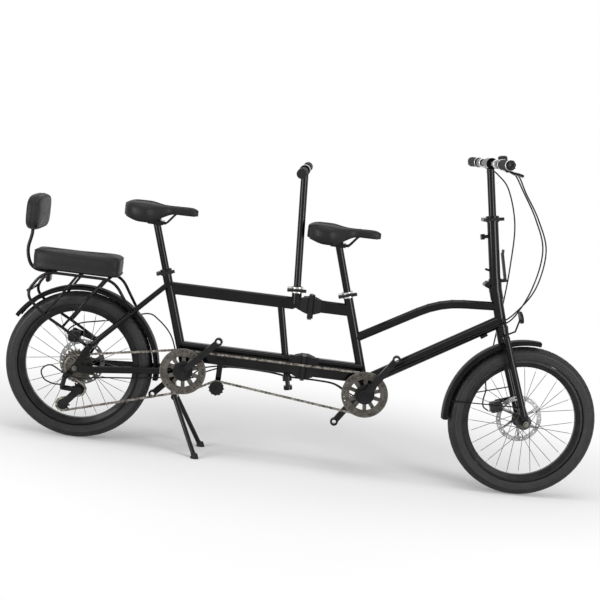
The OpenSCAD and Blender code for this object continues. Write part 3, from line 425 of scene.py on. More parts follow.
@dataclass(frozen=True)
class FramePaint(Coat):
    """Frame paint that lies matt on the cast fold joints.

    Attributes:
        joint: X of the joints in metres.
        reach: how far they go to each side, in metres.
        cast: roughness of the castings.
    """

    joint: float = 0.0044
    reach: float = 0.05
    cast: float = 0.62

    def sheen(self, paint: Paintbox) -> Wire:
        """The roughness, higher on the castings.

        Args:
            paint: the material being made.
        Returns:
            A value from 0 to 1.
        """
        away = paint.axes()[0] - self.joint
        smooth = super().sheen(paint)
        return smooth + ((away * away) < self.reach ** 2) * (self.cast - smooth)


@dataclass(frozen=True)
class Banded(Coat):
    """A coat with a second coat beyond a plane, such as rubber feet on painted legs.

    Attributes:
        other: colour beyond the plane.
        other_rough: roughness beyond the plane.
        axis: the coordinate that is measured, 0 to 2.
        both: True to measure its size without sign.
        edge: where the second coat starts, in metres.
        ribs: width of ribs beyond the plane, 0 for none.
    """

    other: Colour = (0.02, 0.02, 0.02)
    other_rough: float = 0.8
    axis: int = 2
    both: bool = False
    edge: float = 0.02
    ribs: float = 0.0

    def make(self) -> bpy.types.Material:
        """The material."""
        paint = Paintbox(self.name)
        along = paint.axes()[self.axis]
        if self.both:
            along = abs(along)
        far = along > self.edge
        rough = self.sheen(paint) * (1 - far) + far * self.other_rough
        height = self.height(paint) * far * 0.5
        if self.ribs:
            height = height + (along * (2 * math.pi / self.ribs)).sine() * far * 6.0
        second = paint.mix(paint.noise(60.0), self.other, scaled(self.other, 1.35))
        return paint.finish(Base_Color=paint.mix(far, self.colour(paint), second), Roughness=rough,
                            Metallic=self.metal, Specular_IOR_Level=self.gloss,
                            Normal=paint.bump(height, self.relief, 0.7))


@dataclass(frozen=True)
class TyreRubber:
    """Tyre rubber with moulded rings beside the rim, their crests painted paler as a painted highlight.

    Attributes:
        name: the material's name.
        bead: radius in metres inside which the rubber is painted paler, a painted reflection of the rim.
        section: radius in metres of the tyre's middle line.
        ring: width of one moulded ring in metres.
    """

    name: str
    bead: float
    section: float
    ring: float = 0.0036

    def make(self) -> bpy.types.Material:
        """The material, read in the wheel's own frame with its axle along Y."""
        paint = Paintbox(self.name)
        x, _, z = paint.axes()
        radius = (x * x + z * z).root()
        # Painted reflection of the rim: the rubber inside the bead's radius is painted paler
        bead = (1 - radius.between(self.bead - 0.0035, self.bead - 0.0015)) * 0.4
        worn = paint.noise(30.0, 6.0, 0.65)
        black = paint.mix(worn.between(0.25, 0.8), (0.006, 0.006, 0.0064), (0.015, 0.015, 0.0155))
        dusty = paint.mix(radius.between(self.section + 0.014, self.section + 0.024) * worn * 0.35, black,
                          (0.060, 0.059, 0.057))
        rings = (radius * (2 * math.pi / self.ring)).sine() * (radius < self.section + 0.006)
        height = paint.noise(1100.0, 2.0) * 0.4 + rings
        # Painted highlight: the crests of the moulded rings are painted paler
        ribs_painted_highlight = paint.mix(rings.between(0.2, 0.9) * 0.6, dusty, (0.026, 0.025, 0.024))
        return paint.finish(Base_Color=paint.mix(bead, ribs_painted_highlight, (0.030, 0.028, 0.026)),
                            Roughness=0.36 + worn * 0.24, Specular_IOR_Level=0.26,
                            Normal=paint.bump(height, 0.0004, 0.9))


@dataclass(frozen=True)
class Leatherette:
    """Grained vinyl over foam, with painted shade in the creases of its grain.
        pebble: grains per metre.
        rough: roughness of the grain's tops.
        relief: depth of the grain in metres.
        gloss: specular level, 0.5 for plain plastic.
    """

    name: str
    colour: Colour
    pebble: float = 620.0
    rough: float = 0.42
    relief: float = 0.00022
    gloss: float = 0.2

    def make(self) -> bpy.types.Material:
        """The material."""
        paint = Paintbox(self.name)
        noise = {"Vector": paint.place, "Scale": 210.0, "Detail": 2.0}
        warp = paint.place + paint.node("ShaderNodeTexNoise", {}, noise, "Color", Tone.VECTOR) * 0.002
        crack = paint.cells(self.pebble, "DISTANCE_TO_EDGE", warp).between(0.0, 0.22)
        broad = paint.noise(14.0, 3.0)
        shade = paint.mix(broad.between(0.3, 0.7), scaled(self.colour, 0.72), scaled(self.colour, 1.3))
        # Painted shade: the creases between the grain's pebbles are darkened
        grain_and_painted_shade = paint.mix(1 - crack, shade, scaled(self.colour, 0.35))
        rough = self.rough + (1 - crack) * 0.25 + broad * 0.12
        height = crack + broad * 0.8
        return paint.finish(Base_Color=grain_and_painted_shade, Roughness=rough,
                            Normal=paint.bump(height, self.relief, 0.8), Specular_IOR_Level=self.gloss)


@dataclass(frozen=True)
class Lens:
    """A prismatic reflector lens, with painted shade in the hollows of its prisms.

    Attributes:
        name: the material's name.
        colour: its colour.
        pitch: width of one prism in metres.
    """

    name: str
    colour: Colour
    pitch: float = 0.003

    def make(self) -> bpy.types.Material:
        """The material."""
        paint = Paintbox(self.name)
        _, y, z = paint.axes()
        step = 2 * math.pi / self.pitch
        prisms = (y * step).sine() * (z * step).sine()
        # Painted shade: the prisms' hollows are darkened, their crests keep the lens's colour
        shade = paint.mix(prisms.between(-0.6, 0.6), scaled(self.colour, 0.35), self.colour)
        return paint.finish(Base_Color=shade, Roughness=0.12 + prisms * 0.05, Coat_Weight=1.0,
                            Coat_Roughness=0.03, Normal=paint.bump(prisms, 0.0006, 0.8))


@dataclass(frozen=True)
class RingMetal:
    """Bronze-grey guard rings with turned marks and a black middle.

    Attributes:
        name: the material's name.
        centre: X and Z of the crank's axis in metres.
        middle: radius of the black middle in metres.
        teeth: radii in metres between which the worn edge comes in.
        marks: width of one turned mark in metres.
    """

    name: str
    centre: tuple[float, float]
    middle: float = 0.034
    teeth: tuple[float, float] = (0.0772, 0.0796)
    marks: float = 0.0009

    def make(self) -> bpy.types.Material:
        """The material."""
        paint = Paintbox(self.name)
        x, _, z = paint.axes()
        x, z = x - self.centre[0], z - self.centre[1]
        radius = (x * x + z * z).root()
        inner = radius < self.middle
        mottle = paint.noise(60.0, 4.0)
        bronze = paint.mix(mottle.between(0.3, 0.7), (0.056, 0.052, 0.046), (0.108, 0.100, 0.089))
        worn = paint.mix(radius.between(*self.teeth) * mottle, bronze, (0.24, 0.225, 0.205))
        marks = (radius * (2 * math.pi / self.marks)).sine()
        return paint.finish(Base_Color=paint.mix(inner, worn, (0.008, 0.008, 0.0085)),
                            Metallic=0.85 - inner * 0.7, Roughness=0.34 + mottle * 0.14,
                            Specular_IOR_Level=0.2, Normal=paint.bump(marks + mottle, 0.00003, 0.6))


@dataclass(frozen=True)
class CollarMetal:
    """Black clamp collars, with the one on the rear rider's bar post left bright.

    Attributes:
        name: the material's name.
        front: X in metres ahead of which a collar is bright.
        low: Z in metres above which a collar is bright.
    """

    name: str
    front: float = -0.2
    low: float = 0.5

    def make(self) -> bpy.types.Material:
        """The material."""
        paint = Paintbox(self.name)
        x, _, z = paint.axes()
        bright = (x > self.front) * (z > self.low)
        mottle = paint.noise(55.0, 4.0)
        black = paint.mix(mottle, (0.008, 0.008, 0.0085), (0.015, 0.015, 0.0155))
        alloy = paint.mix(mottle, (0.42, 0.41, 0.39), (0.62, 0.61, 0.58))
        return paint.finish(Base_Color=paint.mix(bright, black, alloy), Metallic=bright * 0.95,
                            Roughness=0.24 + mottle * 0.14, Specular_IOR_Level=0.16,
                            Normal=paint.bump(paint.noise(900.0, 2.0), 0.00003, 0.6))


GLOSS_BLACK = ((0.0020, 0.0020, 0.0022), (0.0036, 0.0036, 0.0038), (0.09, 0.15), 0.0, Grain.ORANGE_PEEL)
BLACK_PAINT = Coat("gloss_black_paint", *GLOSS_BLACK, 0.000003, 18.0, 0.006, 0.19)
FRAME_PAINT = FramePaint("frame_black_paint", *GLOSS_BLACK, 0.000003, 18.0, 0.006, 0.19)
SATIN_BLACK = Coat("satin_black_moulding", (0.006, 0.006, 0.0063), (0.011, 0.011, 0.0113), (0.32, 0.46), 0.0,
                   Grain.MOULDED, 0.00005, 30.0, 0.02, 0.12)
MUDGUARD_BLACK = Coat("mudguard_black", (0.004, 0.004, 0.0043), (0.007, 0.007, 0.0073), (0.34, 0.44), 0.0,
                      Grain.MOULDED, 0.00002, 20.0, 0.01, 0.05)
RIM_BLACK = Coat("anodised_black_rim", (0.008, 0.008, 0.0087), (0.015, 0.015, 0.016), (0.26, 0.4), 0.3,
                 Grain.BRUSHED, 0.00003, 40.0, 0.02, 0.16)
BARE_ALLOY = Coat("bare_alloy", (0.48, 0.48, 0.49), (0.66, 0.66, 0.67), (0.2, 0.36), 1.0,
                  Grain.BRUSHED, 0.00003, 50.0)
GUN_STEEL = Coat("oiled_gun_steel", (0.060, 0.056, 0.050), (0.115, 0.106, 0.094), (0.3, 0.46), 0.9,
                 Grain.BRUSHED, 0.00004, 45.0, 0.04)
CHAIN_STEEL = Coat("oiled_chain_steel", (0.045, 0.041, 0.036), (0.36, 0.335, 0.295), (0.26, 0.42), 0.85,
                   Grain.MOULDED, 0.00003, 75.0)
CASTING_BLACK = Coat("cast_black_fitting", (0.004, 0.004, 0.0043), (0.009, 0.009, 0.0093), (0.26, 0.42), 0.0,
                     Grain.CAST, 0.00003, 40.0, 0.01, 0.18)
CABLE_SHEATH = Coat("cable_sheath", (0.005, 0.005, 0.0053), (0.010, 0.010, 0.0103), (0.3, 0.45), 0.0,
                    Grain.MOULDED, 0.00002, 50.0, 0.0, 0.14)
SADDLE_VINYL = Leatherette("saddle_vinyl", (0.0052, 0.0052, 0.0055), 760.0, 0.31, 0.00006, 0.24)
PAD_VINYL = Leatherette("pad_vinyl", (0.0068, 0.0065, 0.0063), 560.0, 0.31, 0.00013, 0.22)
SEAM_THREAD = Coat("seam_thread", (0.014, 0.014, 0.014), (0.030, 0.030, 0.030), (0.7, 0.85), 0.0,
                   Grain.CAST, 0.0001, 200.0)
RED_LENS = Lens("red_lens", (0.42, 0.012, 0.010))
CLEAR_LENS = Lens("clear_lens", (0.62, 0.62, 0.64))


class Bench:
    """Makes mesh objects from points, in metres, in the frame of the solids."""

    def __init__(self) -> None:
        """Starts with no materials made."""
        self.made: dict[str, bpy.types.Material] = {}

    def coat(self, finish: Any) -> bpy.types.Material:
        """A finish's material, made once.

        Args:
            finish: a finish with a name and a make method.
        Returns:
            The material.
        """
        if finish.name not in self.made:
            self.made[finish.name] = finish.make()
        return self.made[finish.name]

    def piece(self, name: str, points: Sequence[Sequence[float]], faces: Sequence[Sequence[int]], finish: Any,
              smooth: bool = True) -> bpy.types.Object:
        """One mesh object.

        Args:
            name: its name.
            points: its vertices in metres.
            faces: vertex numbers of each face.
            finish: what it is made of.
            smooth: True to shade it smooth.
        Returns:
            The object, not yet on a body.
        """
        mesh = bpy.data.meshes.new(name)
        mesh.from_pydata([tuple(p) for p in points], [], [tuple(f) for f in faces])
        mesh.validate()
        shape = bmesh.new()
        shape.from_mesh(mesh)
        bmesh.ops.recalc_face_normals(shape, faces=shape.faces[:])
        shape.to_mesh(mesh)
        shape.free()
        for polygon in mesh.polygons:
            polygon.use_smooth = smooth
        made = placed(name, mesh)
        made.data.materials.append(self.coat(finish))
        return made

    @staticmethod
    def smooth_line(points: Sequence[Point], steps: int = 6) -> list[Vector]:
        """A smooth curve through points.

        Args:
            points: the points.
            steps: parts between two points.
        Returns:
            The curve's points.
        """
        p = [Vector(q) for q in points]
        line: list[Vector] = []
        for i in range(len(p) - 1):
            a, b, c, d = p[max(i - 1, 0)], p[i], p[i + 1], p[min(i + 2, len(p) - 1)]
            for k in range(steps):
                t = k / steps
                line.append(0.5 * (2 * b + (c - a) * t + (2 * a - 5 * b + 4 * c - d) * t * t
                                   + (3 * b - a - 3 * c + d) * t ** 3))
        line.append(p[-1])
        return line

    @staticmethod
    def sweep(line: Sequence[Vector], radius: float, sides: int = 12, closed: bool = False) -> Shell:
        """A round tube along a line.

        Args:
            line: its middle line.
            radius: its radius.
            sides: points around it.
            closed: True where the line's end meets its start.
        Returns:
            Vertices and faces.
        """
        n = len(line)
        side = None
        rings = []
        for i in range(n):
            ahead = line[(i + 1) % n] if closed else line[min(i + 1, n - 1)]
            behind = line[i - 1] if closed else line[max(i - 1, 0)]
            way = (ahead - behind).normalized()
            if side is None:
                side = way.cross(Vector((0, 1, 0)) if abs(way.y) < 0.9 else Vector((1, 0, 0)))
            side = (side - way * side.dot(way)).normalized()
            other = way.cross(side)
            spread = [math.cos(a) * side + math.sin(a) * other for a in turns(sides)]
            rings.append([line[i] + radius * way_out for way_out in spread])
        return Bench.loft(rings, closed)

    @staticmethod
    def loft(rings: Sequence[Sequence[Sequence[float]]], closed: bool = False) -> Shell:
        """A skin over rings of the same count.

        Args:
            rings: the rings.
            closed: True where the last ring meets the first.
        Returns:
            Vertices and faces, with flat caps on open ends.
        """
        n, m = len(rings[0]), len(rings)
        faces = [(i * n + k, i * n + (k + 1) % n, (i + 1) % m * n + (k + 1) % n, (i + 1) % m * n + k)
                 for i in range(m if closed else m - 1) for k in range(n)]
        if not closed:
            faces += [tuple(range(n)), tuple((m - 1) * n + k for k in range(n))]
        return [p for ring in rings for p in ring], faces


class Heap:
    """Gathers several shells into one mesh."""

    def __init__(self) -> None:
        """Starts empty."""
        self.points: list[Sequence[float]] = []
        self.faces: list[tuple[int, ...]] = []

    def add(self, shell: Shell) -> None:
        """Adds one shell.

        Args:
            shell: vertices and faces.
        """
        base = len(self.points)
        points, faces = shell
        self.points += list(points)
        self.faces += [tuple(base + k for k in face) for face in faces]


@dataclass
class Steering:
    """The frame of the fork: its X is forward, its Z is the steering axis.

    Attributes:
        foot: the steering axis beside the axle, in metres.
        lean: head angle back from upright, in degrees.
        turn: how far the wheel is turned at rest, in degrees.
        rake: how far the axle lies ahead of the axis, in metres.
    """

    foot: Point = (0.756082, 0.0, 0.252491)
    lean: float = 17.0
    turn: float = 8.6
    rake: float = 0.0156

    def frame(self) -> Matrix:
        """The steered frame."""
        return (Matrix.Translation(self.foot) @ Matrix.Rotation(math.radians(-self.lean), 4, "Y")
                @ Matrix.Rotation(math.radians(self.turn), 4, "Z"))

    def wheel(self) -> Matrix:
        """The front wheel's frame, with its axle along Y."""
        return self.frame() @ Matrix.Translation((self.rake, 0.0, 0.0))


STEERED = Steering().frame()
FRONT_WHEEL = Steering().wheel()
REAR_WHEEL = Matrix.Translation((-0.771, 0.0, 0.257))


@dataclass
class Tyre:
    """A wide road tyre with grooved tread.

    Attributes:
        name: the piece's name.
        node: the solid it stands for.
        body: the wheel it rides on.
        place: the wheel's frame.
        middle: radius of the section's middle line in metres.
        section: radius of the section in metres.
        bead: radius of the rim's edge in metres.
        blocks: tread blocks around it.
        groove: depth of the tread in metres.
    """

    name: str
    node: str
    body: str
    place: Matrix
    middle: float = 0.230
    section: float = 0.027
    bead: float = 0.2125
    blocks: int = 64
    groove: float = 0.0016
    # Zones of the tread across the section, in degrees from the crown
    SHOULDER = 58.0
    CENTRE_GROOVE = 3.2
    SIDE_GROOVE = (23.0, 27.5)
    SIPE_END = 46.0
    # Degrees across in which a cross groove runs on by a block, inside and outside the side groove
    SLANTS = (70.0, 45.0)
    # Shares of a block that the cross groove and the sipe take up, and of the depth for the sipe
    CROSS_GROOVE = 0.17
    SIPE = (0.5, 0.62)
    SIPE_DEPTH = 0.8
    # Sections to a block, the wall's thickness and the radius of the bead's painted ring (a painted
    # reflection of the rim), in metres
    FINENESS = 8
    WALL = 0.0024
    PAINTED_RIM_REFLECTION_RADIUS = 0.2195

    def cut(self, around: float, across: float) -> float:
        """Depth of the tread at a place.

        Args:
            around: turns of one block, from 0 to the number of blocks.
            across: angle across the section in degrees, 0 at the crown.
        Returns:
            The depth in metres.
        """
        size = abs(across)
        inner, outer = self.SIDE_GROOVE
        if size > self.SHOULDER:
            return 0.0
        if size < self.CENTRE_GROOVE or inner < size < outer:
            return self.groove
        edge = (around + across / self.SLANTS[size >= inner]) % 1.0
        if edge < self.CROSS_GROOVE:
            return self.groove
        if outer < size < self.SIPE_END and self.SIPE[0] < edge < self.SIPE[1]:
            return self.groove * self.SIPE_DEPTH
        return 0.0

    def build(self, bench: Bench) -> list[bpy.types.Object]:
        """The tyre on its wheel.

        Args:
            bench: makes the mesh.
        Returns:
            The one piece.
        """
        reach = math.degrees(math.acos((self.bead - self.middle) / self.section))
        crown = [k * 1.95 - 58.5 for k in range(61)]
        outer = [-reach, -reach * 0.93, -100, -88, -76, -66] + crown + [66, 76, 88, 100, reach * 0.93, reach]
        wall = self.section - self.WALL
        inner = [reach * 0.96, 70, 0, -70, -reach * 0.96]
        columns = self.blocks * self.FINENESS
        rings = []
        for i, turn in enumerate(turns(columns)):
            flat = []
            for across in outer:
                deep = self.cut(i * self.blocks / columns, across)
                flat.append((math.radians(across), self.section - deep))
            flat += [(math.radians(across), wall) for across in inner]
            rings.append([Vector(((self.middle + r * math.cos(a)) * math.cos(turn), r * math.sin(a),
                                  (self.middle + r * math.cos(a)) * math.sin(turn))) for a, r in flat])
        rubber = TyreRubber("tyre_rubber", self.PAINTED_RIM_REFLECTION_RADIUS, self.middle)
        made = bench.piece(self.name, *bench.loft(rings, True), rubber)
        made.matrix_world = self.place
        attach(made, self.body)
        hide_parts(self.node)
        return [made]


@dataclass
class Chain:
    """A roller chain round its sprockets, drawn link by link.

    Attributes:
        parts: name of each piece and the legs that it holds, two to a sprocket: its wrap, then the
            run after it.
        node: the solid it stands for.
        side: the chain's middle plane, as a Y in millimetres.
        rounds: X, Z, radius and sense of turn of each sprocket, in millimetres.
        pitch: the length of one link.
    """

    parts: Sequence[tuple[str, Sequence[int]]]
    node: str
    side: float
    rounds: Sequence[tuple[float, float, float, int]]
    pitch: float = 12.7
    # Points along a wrap and a run, and the run's length beside a sprocket, in millimetres
    WRAP_STEPS = 60
    RUN_STEPS = 200
    MESHED = 30.0
    # Sizes of a link in millimetres
    EYE = 4.1
    WAIST = 2.9
    PLATES = ((2.6, 3.2), (1.9, 2.55))
    PIN = 1.7
    PIN_END = 3.45
    STUB = 1.6
    DRUM = 2.5
    DRUM_END = 1.85

    def heading(self, first: Sequence[float], second: Sequence[float]) -> float:
        """Direction of the straight run between two sprockets.

        Args:
            first: the sprocket it leaves.
            second: the sprocket it reaches.
        Returns:
            The angle in radians.
        """
        x, z = second[0] - first[0], second[1] - first[1]
        lean = (second[3] * second[2] - first[3] * first[2]) / math.hypot(x, z)
        return math.atan2(z, x) - math.asin(max(-1.0, min(1.0, lean)))

    @staticmethod
    def touch(sprocket: Sequence[float], angle: float) -> tuple[float, float]:
        """Where a run of that heading touches a sprocket."""
        x, z, radius, sense = sprocket
        return x + sense * radius * math.sin(angle), z - sense * radius * math.cos(angle)

    def route(self) -> list[tuple[float, float, bool, int]]:
        """Fine points along the chain, each with True where it runs free of a sprocket, and its leg."""
        count = len(self.rounds)
        points: list[tuple[float, float, bool, int]] = []
        for i, here in enumerate(self.rounds):
            before = self.heading(self.rounds[i - 1], here)
            after = self.heading(here, self.rounds[(i + 1) % count])
            turn = (after - before) % (2 * math.pi)
            if here[3] < 0:
                turn -= 2 * math.pi
            for k in range(self.WRAP_STEPS):
                points.append((*self.touch(here, before + turn * k / self.WRAP_STEPS), False, 2 * i))
            start, end = self.touch(here, after), self.touch(self.rounds[(i + 1) % count], after)
            length = math.dist(start, end)
            for k in range(self.RUN_STEPS):
                t = k / self.RUN_STEPS
                free = self.MESHED < t * length < length - self.MESHED
                points.append((start[0] + (end[0] - start[0]) * t, start[1] + (end[1] - start[1]) * t, free,
                               2 * i + 1))
        return points

    def stops(self) -> list[tuple[float, float, bool, int]]:
        """The pins' places, spread evenly along the route."""
        line = self.route()
        flat = np.array([p[:2] for p in line + line[:1]])
        run = np.concatenate([[0.0], np.cumsum(np.linalg.norm(np.diff(flat, axis=0), axis=1))])
        count = 2 * round(run[-1] / self.pitch / 2)
        at = np.arange(count) * run[-1] / count
        return [(float(np.interp(s, run, flat[:, 0])), float(np.interp(s, run, flat[:, 1])),
                 *line[min(int(np.searchsorted(run, s)), len(line) - 1)][2:]) for s in at]

    def plate(self, a: Sequence[float], b: Sequence[float], near: float, far: float) -> Shell:
        """A waisted side plate between two pins.

        Args:
            a: the first pin's X and Z.
            b: the second pin's X and Z.
            near: the plate's inner Y.
            far: its outer Y.
        Returns:
            Vertices in metres and faces.
        """
        way = math.atan2(b[1] - a[1], b[0] - a[0])
        mid = ((a[0] + b[0]) / 2, (a[1] + b[1]) / 2)
        outline = []
        for end, base in ((b, way), (a, way + math.pi)):
            for degrees in (-100, -60, -20, 20, 60, 100):
                turn = base + math.radians(degrees)
                outline.append((end[0] + self.EYE * math.cos(turn), end[1] + self.EYE * math.sin(turn)))
            turn = base + math.pi / 2
            outline.append((mid[0] + self.WAIST * math.cos(turn), mid[1] + self.WAIST * math.sin(turn)))
        return Bench.loft([[(x * MM, y * MM, z * MM) for x, z in outline] for y in (near, far)])

    def build(self, bench: Bench) -> list[bpy.types.Object]:
        """The chain in its pieces.

        Args:
            bench: makes the meshes.
        Returns:
            The pieces, not yet on a body.
        """
        heaps: dict[int, Heap] = {}
        for _, legs in self.parts:
            heaps.update(dict.fromkeys(legs, Heap()))
        pins = self.stops()
        for k, (x, z, free, leg) in enumerate(pins):
            heap = heaps[leg]
            following = pins[(k + 1) % len(pins)]
            low, high = self.PLATES[k % 2]
            for sense in (-1, 1):
                heap.add(self.plate((x, z), following, self.side + sense * low, self.side + sense * high))
            for sense in (-1, 1):
                end = Vector((x, self.side + sense * self.PIN_END, z)) * MM
                inner = end - Vector((0, sense * (self.PIN_END if free else self.STUB), 0)) * MM
                heap.add(bench.sweep([end, inner], self.PIN * MM, 8))
            if free:
                drum = [Vector((x, self.side + sense * self.DRUM_END, z)) * MM for sense in (-1, 1)]
                heap.add(bench.sweep(drum, self.DRUM * MM, 10))
        pieces = []
        for name, legs in self.parts:
            heap = heaps[legs[0]]
            pieces.append(bench.piece(name, heap.points, heap.faces, CHAIN_STEEL, False))
            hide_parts(self.node)
        return pieces


class Hold(Enum):
    """How a length of cable is held."""

    RIDES = "rides"
    BENDS = "bends"


@dataclass
class Run:
    """One length of cable.

    Attributes:
        name: the piece's name.
        first: number of the route's first point in it.
        last: number of the route's last point in it.
        bodies: one body that it rides on, or two that it spans, where it is left unattached in place.
    """

    name: str
    first: int
    last: int
    bodies: tuple[str, ...]

    @property
    def hold(self) -> Hold:
        """Whether it rides on one body or spans two."""
        return Hold.RIDES if len(self.bodies) == 1 else Hold.BENDS


@dataclass
class Cable:
    """A sheathed cable, made of lengths that ride on different bodies, and lengths left in place between two.

    Attributes:
        route: its points in millimetres.
        runs: its lengths.
        node: the solid it stands for.
        radius: the sheath's radius in millimetres.
        frame: the frame its points are given in.
        steps: parts between two points of the route.
    """

    route: Sequence[Point]
    runs: Sequence[Run]
    node: str
    radius: float = 2.5
    frame: Matrix = field(default_factory=lambda: Matrix.Identity(4))
    steps: int = 8

    def __post_init__(self) -> None:
        """Brings the route to metres in the shared frame."""
        self.route = [self.frame @ (Vector(p) * MM) for p in self.route]

    def build(self, bench: Bench) -> list[bpy.types.Object]:
        """Every length, each one with a single body riding on it, the others left in place.

        Args:
            bench: makes the meshes.
        Returns:
            The pieces.
        """
        line = bench.smooth_line(self.route, self.steps)
        made = []
        for run in self.runs:
            part = line[run.first * self.steps: run.last * self.steps + 1]
            piece = bench.piece(run.name, *bench.sweep(part, self.radius * MM, 12), CABLE_SHEATH)
            if run.hold is Hold.RIDES:
                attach(piece, run.bodies[0])
            else:
                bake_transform(piece)
            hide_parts(self.node)
            made.append(piece)
        return made


def frame_runs(name: str) -> tuple[Run, ...]:
    """Lengths of a cable from the bars down the front frame to the fold.

    Args:
        name: the cable's name.
    Returns:
        Its lengths.
    """
    return (Run(name + "_bars", 0, 3, ("bars", "post")),
            Run(name + "_loop", 3, 5, ("post", "steering")),
            Run(name + "_head", 5, 8, ("steering", "front_frame")),
            Run(name + "_tube", 8, 16, ("front_frame",)),
            Run(name + "_fold", 16, 18, ("front_frame", "rear_frame")))


CABLES = (
    Cable(((609.5, -129, 1103.4), (634, -127, 1089), (664, -108, 1040), (722, -66, 955), (766, -40, 850),
           (750, -33, 720), (690, -31, 625), (640, -27, 584), (560, -25.5, 535), (420, -25.5, 449),
           (300, -25.5, 375), (262, -27, 318), (250, -24, 276), (222, -17, 262), (180, 0, 272),
           (120, 18, 298), (60, 20, 303), (4.4, 20, 303), (-50, 21, 303)),
          frame_runs("rear_brake_cable"), "front_cables"),
    Cable(((598, -102, 1106), (624, -98, 1092), (656, -92, 1044), (714, -56, 955), (756, -30, 850),
           (740, -24, 720), (690, -24, 610), (634, -27, 573), (560, -24.8, 527), (420, -24.8, 441),
           (300, -24.8, 367), (256, -27, 308), (242, -22, 268), (218, -10, 254), (178, 8, 264),
           (120, 26, 294), (60, 27, 300), (4.4, 27, 300), (-50, 27, 300)),
          frame_runs("gear_cable"), "front_cables"),
    Cable(((80.6, 138, 859), (101, 134, 838), (125, 110, 780), (118, 74, 660), (76, 66, 520), (34, 74, 400),
           (-6, 80, 300), (-44, 76, 210), (-70, 68, 150), (-77, 63, 115), (-93, 57, 85), (-97, 53.4, 61.7),
           (-83.4, 53.4, 45)),
          (Run("front_brake_cable_bars", 0, 2, ("bars", "post")),
           Run("front_brake_cable_loop", 2, 5, ("post", "steering")),
           Run("front_brake_cable_fork", 5, 10, ("steering",)),
           Run("front_brake_cable_end", 10, 12, ("steering", "brake_arm_front"))), "front_cables",
          frame=STEERED),
    Cable(((-50, 21, 303), (-120, 20, 312), (-250, 20, 313), (-340, 19, 296), (-375, 18, 270),
           (-403, 17, 263), (-428, 17, 270), (-437, 17, 300), (-447, 17, 350), (-470, 22, 400),
           (-515, 36, 440), (-560, 52, 455), (-650, 65, 422), (-730, 66, 404), (-785, 65, 392),
           (-818, 64.3, 376), (-834, 64.3, 358), (-835, 64.3, 344.4)),
          (Run("rear_brake_cable_stay", 0, 15, ("rear_frame",)),
           Run("rear_brake_cable_end", 15, 17, ("rear_frame", "brake_arm_rear"))), "rear_cables"),
    Cable(((-50, 27, 300), (-120, 27, 308), (-250, 27, 308), (-320, 20, 288), (-370, 0, 262),
           (-403, -12, 258), (-440, -24, 255), (-480, -34, 254), (-560, -44, 243), (-640, -53, 236),
           (-700, -66, 231), (-745, -80, 226), (-795, -95, 236), (-850, -94, 262), (-882, -87, 240),
           (-873, -78, 208), (-845, -68, 193), (-821, -66, 192)),
          (Run("gear_cable_stay", 0, 17, ("rear_frame",)),), "rear_cables"),
)
TIMING = Chain((("timing_links", range(6)),), "timing_chain", -52.5,
               ((-403.0, 290.0, 72.858, 1), (-283.0, 246.0, 24.5345, -1), (224.0, 290.0, 72.858, 1)))
DRIVE = Chain((("drive_links", range(4)), ("cage_links", range(4, 7)), ("return_links", (7,))),
              "drive_chain", -43.5,
              ((-403.0, 290.0, 72.858, 1), (-771.0, 257.0, 40.592, 1), (-755.0, 179.0, 22.539, -1),
               (-807.0, 119.0, 22.539, 1)))


